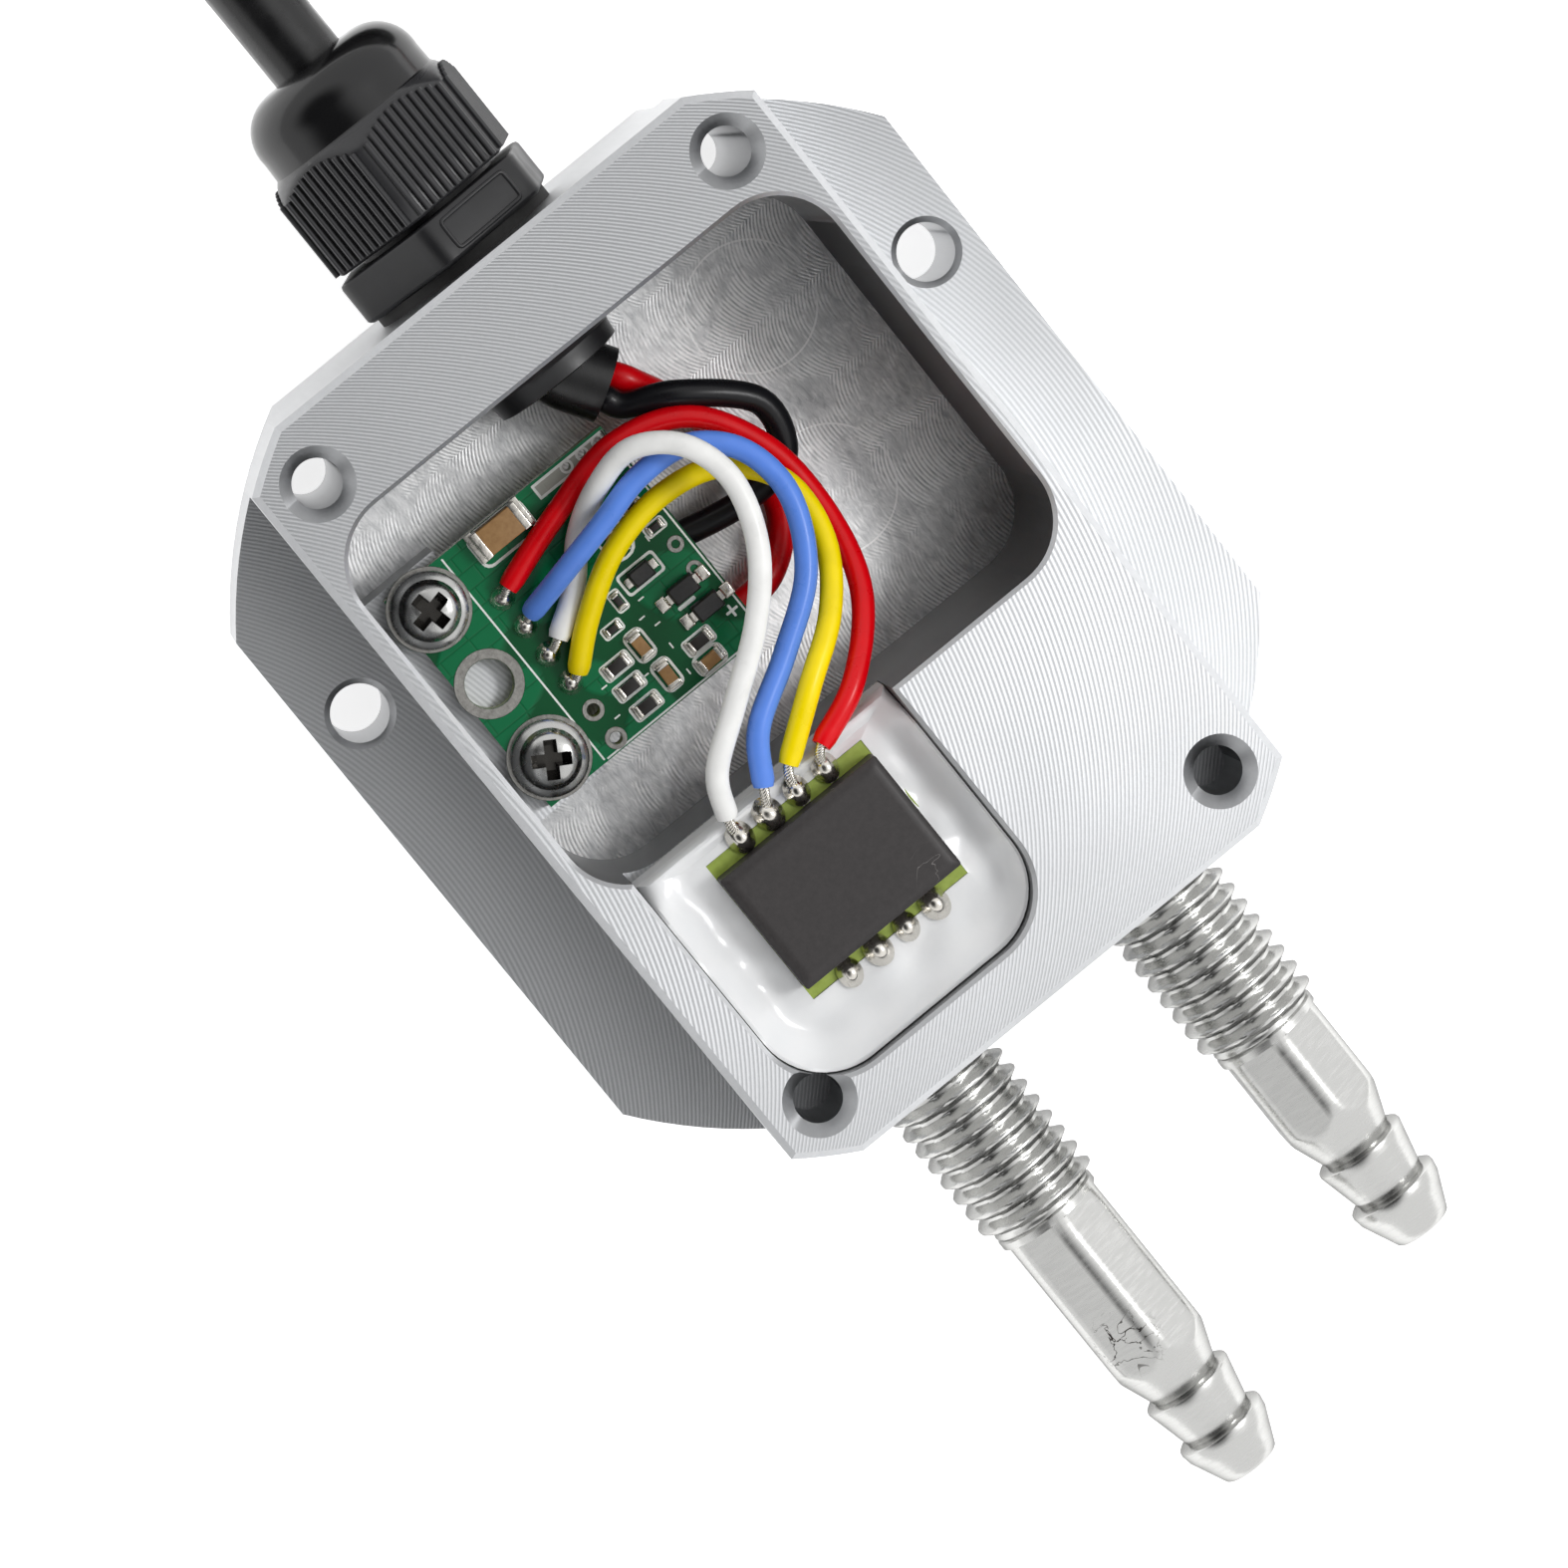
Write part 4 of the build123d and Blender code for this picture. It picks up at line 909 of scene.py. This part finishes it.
# Signal wires. Four stranded wires in red, blue, white and yellow PVC, 1.65 mm thick, that loop from the board
# over the pocket's step to the sensor. Both ends are stripped, and the twisted strands go into the solder.
signal_radius, signal_bundle = 0.825, 0.42
signal_paths = {
    "red": [
        (-12.2, 12.9, 12.95), (-6.4, 14.8, 13.3), (-0.3, 16.1, 13.4), (5.2, 14.2, 13.3), (8.2, 8.8, 13.2),
        (8.4, 2.4, 13.8), (6.6, -2.8, 16.2), (2.2, -6.7, 19.2), (-2.4, -8.6, 20.0),
    ],
    "blue": [
        (-12.1, 10.5, 12.95), (-8.6, 11.5, 15.2), (-4.4, 12.6, 16.8), (-0.4, 13.6, 17.3), (3.6, 13.2, 17.4),
        (6.4, 10.4, 17.6), (6.9, 6.0, 17.9), (4.4, 1.2, 18.4), (-0.4, -2.2, 19.2), (-5.0, -4.9, 20.1),
        (-7.3, -8.3, 20.0),
    ],
    "white": [
        (-11.7, 7.9, 12.95), (-8.6, 10.0, 13.0), (-6.1, 12.7, 13.3), (-3.2, 14.7, 16.3), (0.2, 15.6, 18.8),
        (3.2, 13.6, 20.2), (4.3, 9.6, 20.4), (2.8, 5.0, 20.6), (-0.6, 1.0, 20.7), (-5.5, -2.6, 20.8),
        (-9.2, -5.4, 20.6), (-10.6, -8.4, 20.0),
    ],
    "yellow": [
        (-12.1, 5.2, 12.95), (-9.2, 7.8, 14.0), (-5.0, 10.4, 15.0), (-0.2, 11.4, 15.2), (4.4, 10.4, 15.2),
        (7.4, 6.8, 15.6), (7.0, 2.0, 16.6), (4.0, -2.0, 18.4), (-0.4, -4.9, 20.0), (-5.0, -8.2, 20.0),
    ],
}
lead_of = {"red": 3, "blue": 1, "white": 0, "yellow": 2}
pad_of = {"red": 0, "blue": 1, "white": 2, "yellow": 3}


def eased(points, steps=8):
    """A finer row of points on a smooth curve through the given ones."""
    ends = [points[0] * 2 - points[1]] + points + [points[-1] * 2 - points[-2]]
    fine = []
    for a, b, c, d in zip(ends, ends[1:], ends[2:], ends[3:]):
        for i in range(steps):
            t = i / steps
            bend = (2 * a - 5 * b + 4 * c - d) * t**2 + (3 * b - a - 3 * c + d) * t**3
            fine.append(0.5 * (2 * b + (c - a) * t + bend))
    return fine + [points[-1]]


def carried(points):
    """The two directions across a path at each of its points, carried along it without a twist."""
    side = Vector((0, 0, 1)).cross(points[1] - points[0]).normalized()
    for i in range(len(points)):
        along = (points[min(i + 1, len(points) - 1)] - points[max(i - 1, 0)]).normalized()
        side = (side - along * side.dot(along)).normalized()
        yield side, along.cross(side)


def sleeve(points, radius, wall, columns=16):
    """Insulation along points: a smooth tube with softly cut ends that are open round the strands."""
    outside, inside = [], []
    for i, (side, other) in enumerate(carried(points)):
        trim = 0.12 if i in (0, len(points) - 1) else 0.0
        spokes = [side * u + other * v for u, v in circle(1.0, columns)]
        outside.append([points[i] + spoke * (radius - trim) for spoke in spokes])
        inside.append([points[i] + spoke * (radius - wall) for spoke in spokes])
    return skin(outside + inside[::-1], looped=True)


def strands(points, radius, twist=2.2, count=7):
    """A bundle of fine wires twisted round a middle one along points."""
    wires = []
    for k in range(count):
        off = 0 if k == count - 1 else radius * 0.66
        way = []
        for i, (side, other) in enumerate(carried(points)):
            angle = math.tau * (k / (count - 1) + twist * i / len(points))
            way.append(points[i] + (side * math.cos(angle) + other * math.sin(angle)) * off)
        wires.append(bent_bar(way, radius * 0.34, resolution=2))
    return joined(*wires)


def insulate(kind, colour, path, radius, wall=0.33):
    """Adds the sleeve of a wire as a piece and gives the finer row of points that it follows."""
    fine = eased([Vector(point) for point in path])
    tube, slot = sleeve(fine, radius, wall), colour + "_insulation"
    add_piece(f"{kind}_sleeve_{colour}", tube, insulations[colour], slot, f"{kind}_wire_{colour}")
    return fine


bare = []
for colour, path in signal_paths.items():
    fine = insulate("signal", colour, path, signal_radius)
    pad = Vector((*pad_places[pad_of[colour]], board_top + 0.1))
    joint = Vector((lead_columns[lead_of[colour]], -10.0, 19.05))
    for end, inner, goal in ((fine[0], fine[3], pad), (fine[-1], fine[-4], joint)):
        out = (end - inner).normalized()
        way = eased([end - out * 0.9, end, end + out * 0.35 + (goal - end) * 0.3, goal], 4)
        bare.append(strands(way, signal_bundle))
add_piece("signal_strands", joined(*bare), tin, "solder_tin")

# Supply wires. The cable's red and black cores, 2 mm thick, that leave its cut jacket in the pocket, dip past
# the board's edge and are soldered underneath it.
supply_paths = {
    "black": [
        (1.377, 18.953, 11.7), (2.27, 17.507, 11.7), (5.6, 15.9, 12.9), (9.8, 11.8, 11.8), (8.8, 7.6, 10.7),
        (4.6, 6.8, 9.5), (-0.9, 7.8, 9.1),
    ],
    "red": [
        (2.823, 19.847, 10.3), (3.716, 18.401, 10.3), (5.6, 14.4, 7.9), (7.2, 8.6, 6.6), (6.2, 4.0, 7.0),
        (2.9, 1.4, 8.4), (-0.9, 1.2, 9.1),
    ],
}
supply_end = [Vector(step) for step in ((0.9, 0, 0), (0, 0, 0), (-0.5, 0, 0.5), (-0.9, 0, 1.2))]
bare = []
for colour, path in supply_paths.items():
    fine = insulate("supply", colour, path, 1.0, 0.4)
    bare.append(strands(eased([fine[-1] + step for step in supply_end], 4), 0.5))
add_piece("supply_strands", joined(*bare), tin, "solder_tin")

# Solder. Bright domes that are drawn up round the strands: one on each of the four used pads, two under the
# board and one long bead on each of the sensor's eight leads, no two quite alike.


def solder_bead(width, length, height):
    """A bead of solder that spreads to a thin foot and rises to a blunt top."""
    profile = ((1.0, 0.0), (0.97, 0.06), (0.86, 0.2), (0.72, 0.45), (0.56, 0.72), (0.36, 0.92), (0.15, 1.0))
    return skin([level_ring(width / 2 * share, height * rise, 32, length / width) for share, rise in profile])


used = [(*place, board_top, 25 * i) for i, place in enumerate(pad_places[:4])]
beads = repeat(solder_bead(1.75, 1.7, 0.95), used, tin, size_play=0.07, seed=3)
add_piece("board_beads", beads, tin, "solder_tin", "board_solder")
soldered = [(x, sensor_y + side * 6.15, 18.82, 0) for x in lead_columns for side in (1, -1)]
beads = repeat(solder_bead(2.0, 2.5, 1.05), soldered, tin, size_play=0.08, turn_play=8, seed=9)
add_piece("lead_beads", beads, tin, "solder_tin", "sensor_solder")
hanging = solder_bead(1.6, 1.7, 0.75)
hanging.transform(Matrix.Rotation(math.pi, 4, "X"))
beads = repeat(hanging, [(-1.7, 7.8, 10.4, 0), (-1.7, 1.2, 10.4, 0)], tin, size_play=0.05, seed=5)
add_piece("under_beads", beads, tin, "solder_tin", "supply_solder")

# Potting silicone. White, poured round the sensor up to the carrier's face, where it set with a wet gloss. It
# climbs a little at the carrier, leaves a thin dark gap at the outer wall and lies in soft lumps.
recess_left, recess_right, recess_low, recess_high, recess_corner = -18.6, 3.8, -27.8, -8.45, 5.5
wall_gap = 0.08
pour_bottom, pour_side, pour_level, pour_under = 14.62, 17.2, 18.42, 17.55
silicone, _, shader = start_material("white silicone", "f4f4f4", 0.2)
mottle(shader, 300.0, 4.0, tones=("eceef0", "fafafa"), bump=(0.3, 0.15))
inside = {"Subsurface Weight": 0.25, "Subsurface Radius": (0.8, 0.8, 0.8), "Subsurface Scale": 1.0 * mm}
set_inputs(shader, inside)


def silicone_outline(gap, steps=12, edge=40):
    """Points round the recess, a little inside its walls, starting at the pocket's step."""
    left, right, low, high = recess_left + gap, recess_right - gap, recess_low + gap, recess_high
    corner = recess_corner - gap
    points = [(right + (left - right) * i / edge, high) for i in range(edge)]
    points += [(left, high + (low + corner - high) * i / edge) for i in range(edge)]
    for middle, start in ((left + corner, math.pi), (right - corner, -math.pi / 2)):
        points += [(middle + u, low + corner + v) for u, v in circle(corner, steps, start, math.pi / 2)]
        if start > 0:
            points += [(middle + (right - left - 2 * corner) * i / edge, low) for i in range(edge)]
    return points + [(right, low + corner + (high - low - corner) * i / edge) for i in range(edge)]


def towards_carrier(x, y, share):
    """The place that lies a share of the way from a point of the outline to the carrier's edge."""
    near_x = min(max(x, sensor_x - 6.96), sensor_x + 6.96)
    near_y = min(max(y, sensor_y - 6.04), sensor_y + 6.04)
    return x + (near_x - x) * share, y + (near_y - y) * share


def lump(x, y):
    """The height of the set surface's soft lumps at a place."""
    waves = math.sin(x * 1.3 + 0.7 * math.sin(y * 0.9)) + math.sin(y * 1.7 + 1.1 * math.sin(x * 0.8))
    return 0.09 * (waves + math.sin(x * 0.7 - y * 1.1))


outline = silicone_outline(wall_gap)
rings = [[(x, y, z) for x, y in outline] for z in (pour_bottom, pour_side)]
for share in (0.0, 0.02, 0.05, 0.1, 0.18, 0.28, 0.4, 0.53, 0.66, 0.78, 0.88, 0.95, 1.0):
    ring = []
    for x, y in outline:
        px, py = towards_carrier(x, y, share)
        walled = min(max((-8.6 - y) / 3.0, 0), 1)
        rise = walled * (2.1 * (1 - min(share / 0.55, 1)) ** 1.6 - 0.25 * (1 - min(share / 0.05, 1)))
        sag = 0.5 * math.sin(math.pi * min(share / 0.6, 1)) - 0.9 * (1 - min(share / 0.18, 1)) ** 2
        climb = 0.26 * max(share - 0.7, 0) / 0.3
        lumps = lump(px, py) * min(share / 0.3, 1) * min((1.05 - share) / 0.3, 1)
        ring.append((px, py, pour_level + rise + (1 - walled) * sag + climb + lumps))
    rings.append(ring)
rings += [[(*towards_carrier(x, y, 1.0), z) for x, y in outline] for z in (pour_under, pour_bottom)]
add_piece("potting_silicone_set", skin(rings, looped=True), silicone, "white_silicone", "potting_silicone")

# Stage. A plain pale table and soft studio light, with the camera at the photograph's viewing angle.
# The table glows towards the camera and in reflections, so that it reads as white paper with a faint shadow.
camera = in_scene("camera", bpy.data.cameras.new("camera"))
camera.data.sensor_width = 36
camera.data.lens = 150.95
camera.data.clip_start, camera.data.clip_end = 0.01, 10
yaw, pitch, roll = -0.688528, -0.092403, -0.126411
aimed = Matrix.Rotation(yaw, 3, "Z") @ Matrix.Rotation(pitch, 3, "X") @ Matrix.Rotation(roll, 3, "Y")
camera.rotation_mode = "QUATERNION"
camera.rotation_quaternion = aimed.to_quaternion()
camera.location = (-0.02391, 0.05954, 0.46936)
bpy.context.scene.camera = camera

paper, add, shader = start_material("white paper", "f2f2f2", 0.9)
ray = add("LightPath").outputs
seen = add("ADD", [ray["Is Camera Ray"], ray["Is Glossy Ray"]])
seen = add("ADD", [seen, ray["Is Transmission Ray"]], use_clamp=True)
glow = add("MULTIPLY", [seen, 0.8])
set_inputs(shader, {"Emission Color": (1, 1, 1, 1), "Emission Strength": glow})
floor = bpy.data.meshes.new("table")
floor.from_pydata([(-3, -3, 0), (3, -3, 0), (3, 3, 0), (-3, 3, 0)], [], [(0, 1, 2, 3)])
floor.materials.append(paper)
in_scene("table", floor)

world = bpy.data.worlds.new("studio")
bpy.context.scene.world = world
world.use_nodes = True
add = partial(add_node, world.node_tree)
direction = add("TexCoord").outputs["Generated"]
above = add("VectorMath DISTANCE", [direction, (-0.42, 0.20, 0.88)])
level = add("MapRange", [above, 0.32, 0.8, 0.04, 1.05], interpolation_type="SMOOTHSTEP")
grey = add("CombineColor", [level, level, level])
direct = add("LightPath").outputs["Is Camera Ray"]
shown = add("Mix RGBA", [direct, grey, (1, 1, 1, 1)])
set_inputs(world.node_tree.nodes["Background"], {"Color": shown, "Strength": 1.0})

lamp = bpy.data.lights.new("key", "AREA")
lamp.shape = "DISK"
lamp.size = 0.1
lamp.energy = 0.47
light = in_scene("key", lamp)
light.location = (0.22, -0.085, 0.33)
light.rotation_mode = "QUATERNION"
light.rotation_quaternion = (-light.location).to_track_quat("-Z", "Y")
bpy.context.scene.view_settings.view_transform = "Standard"
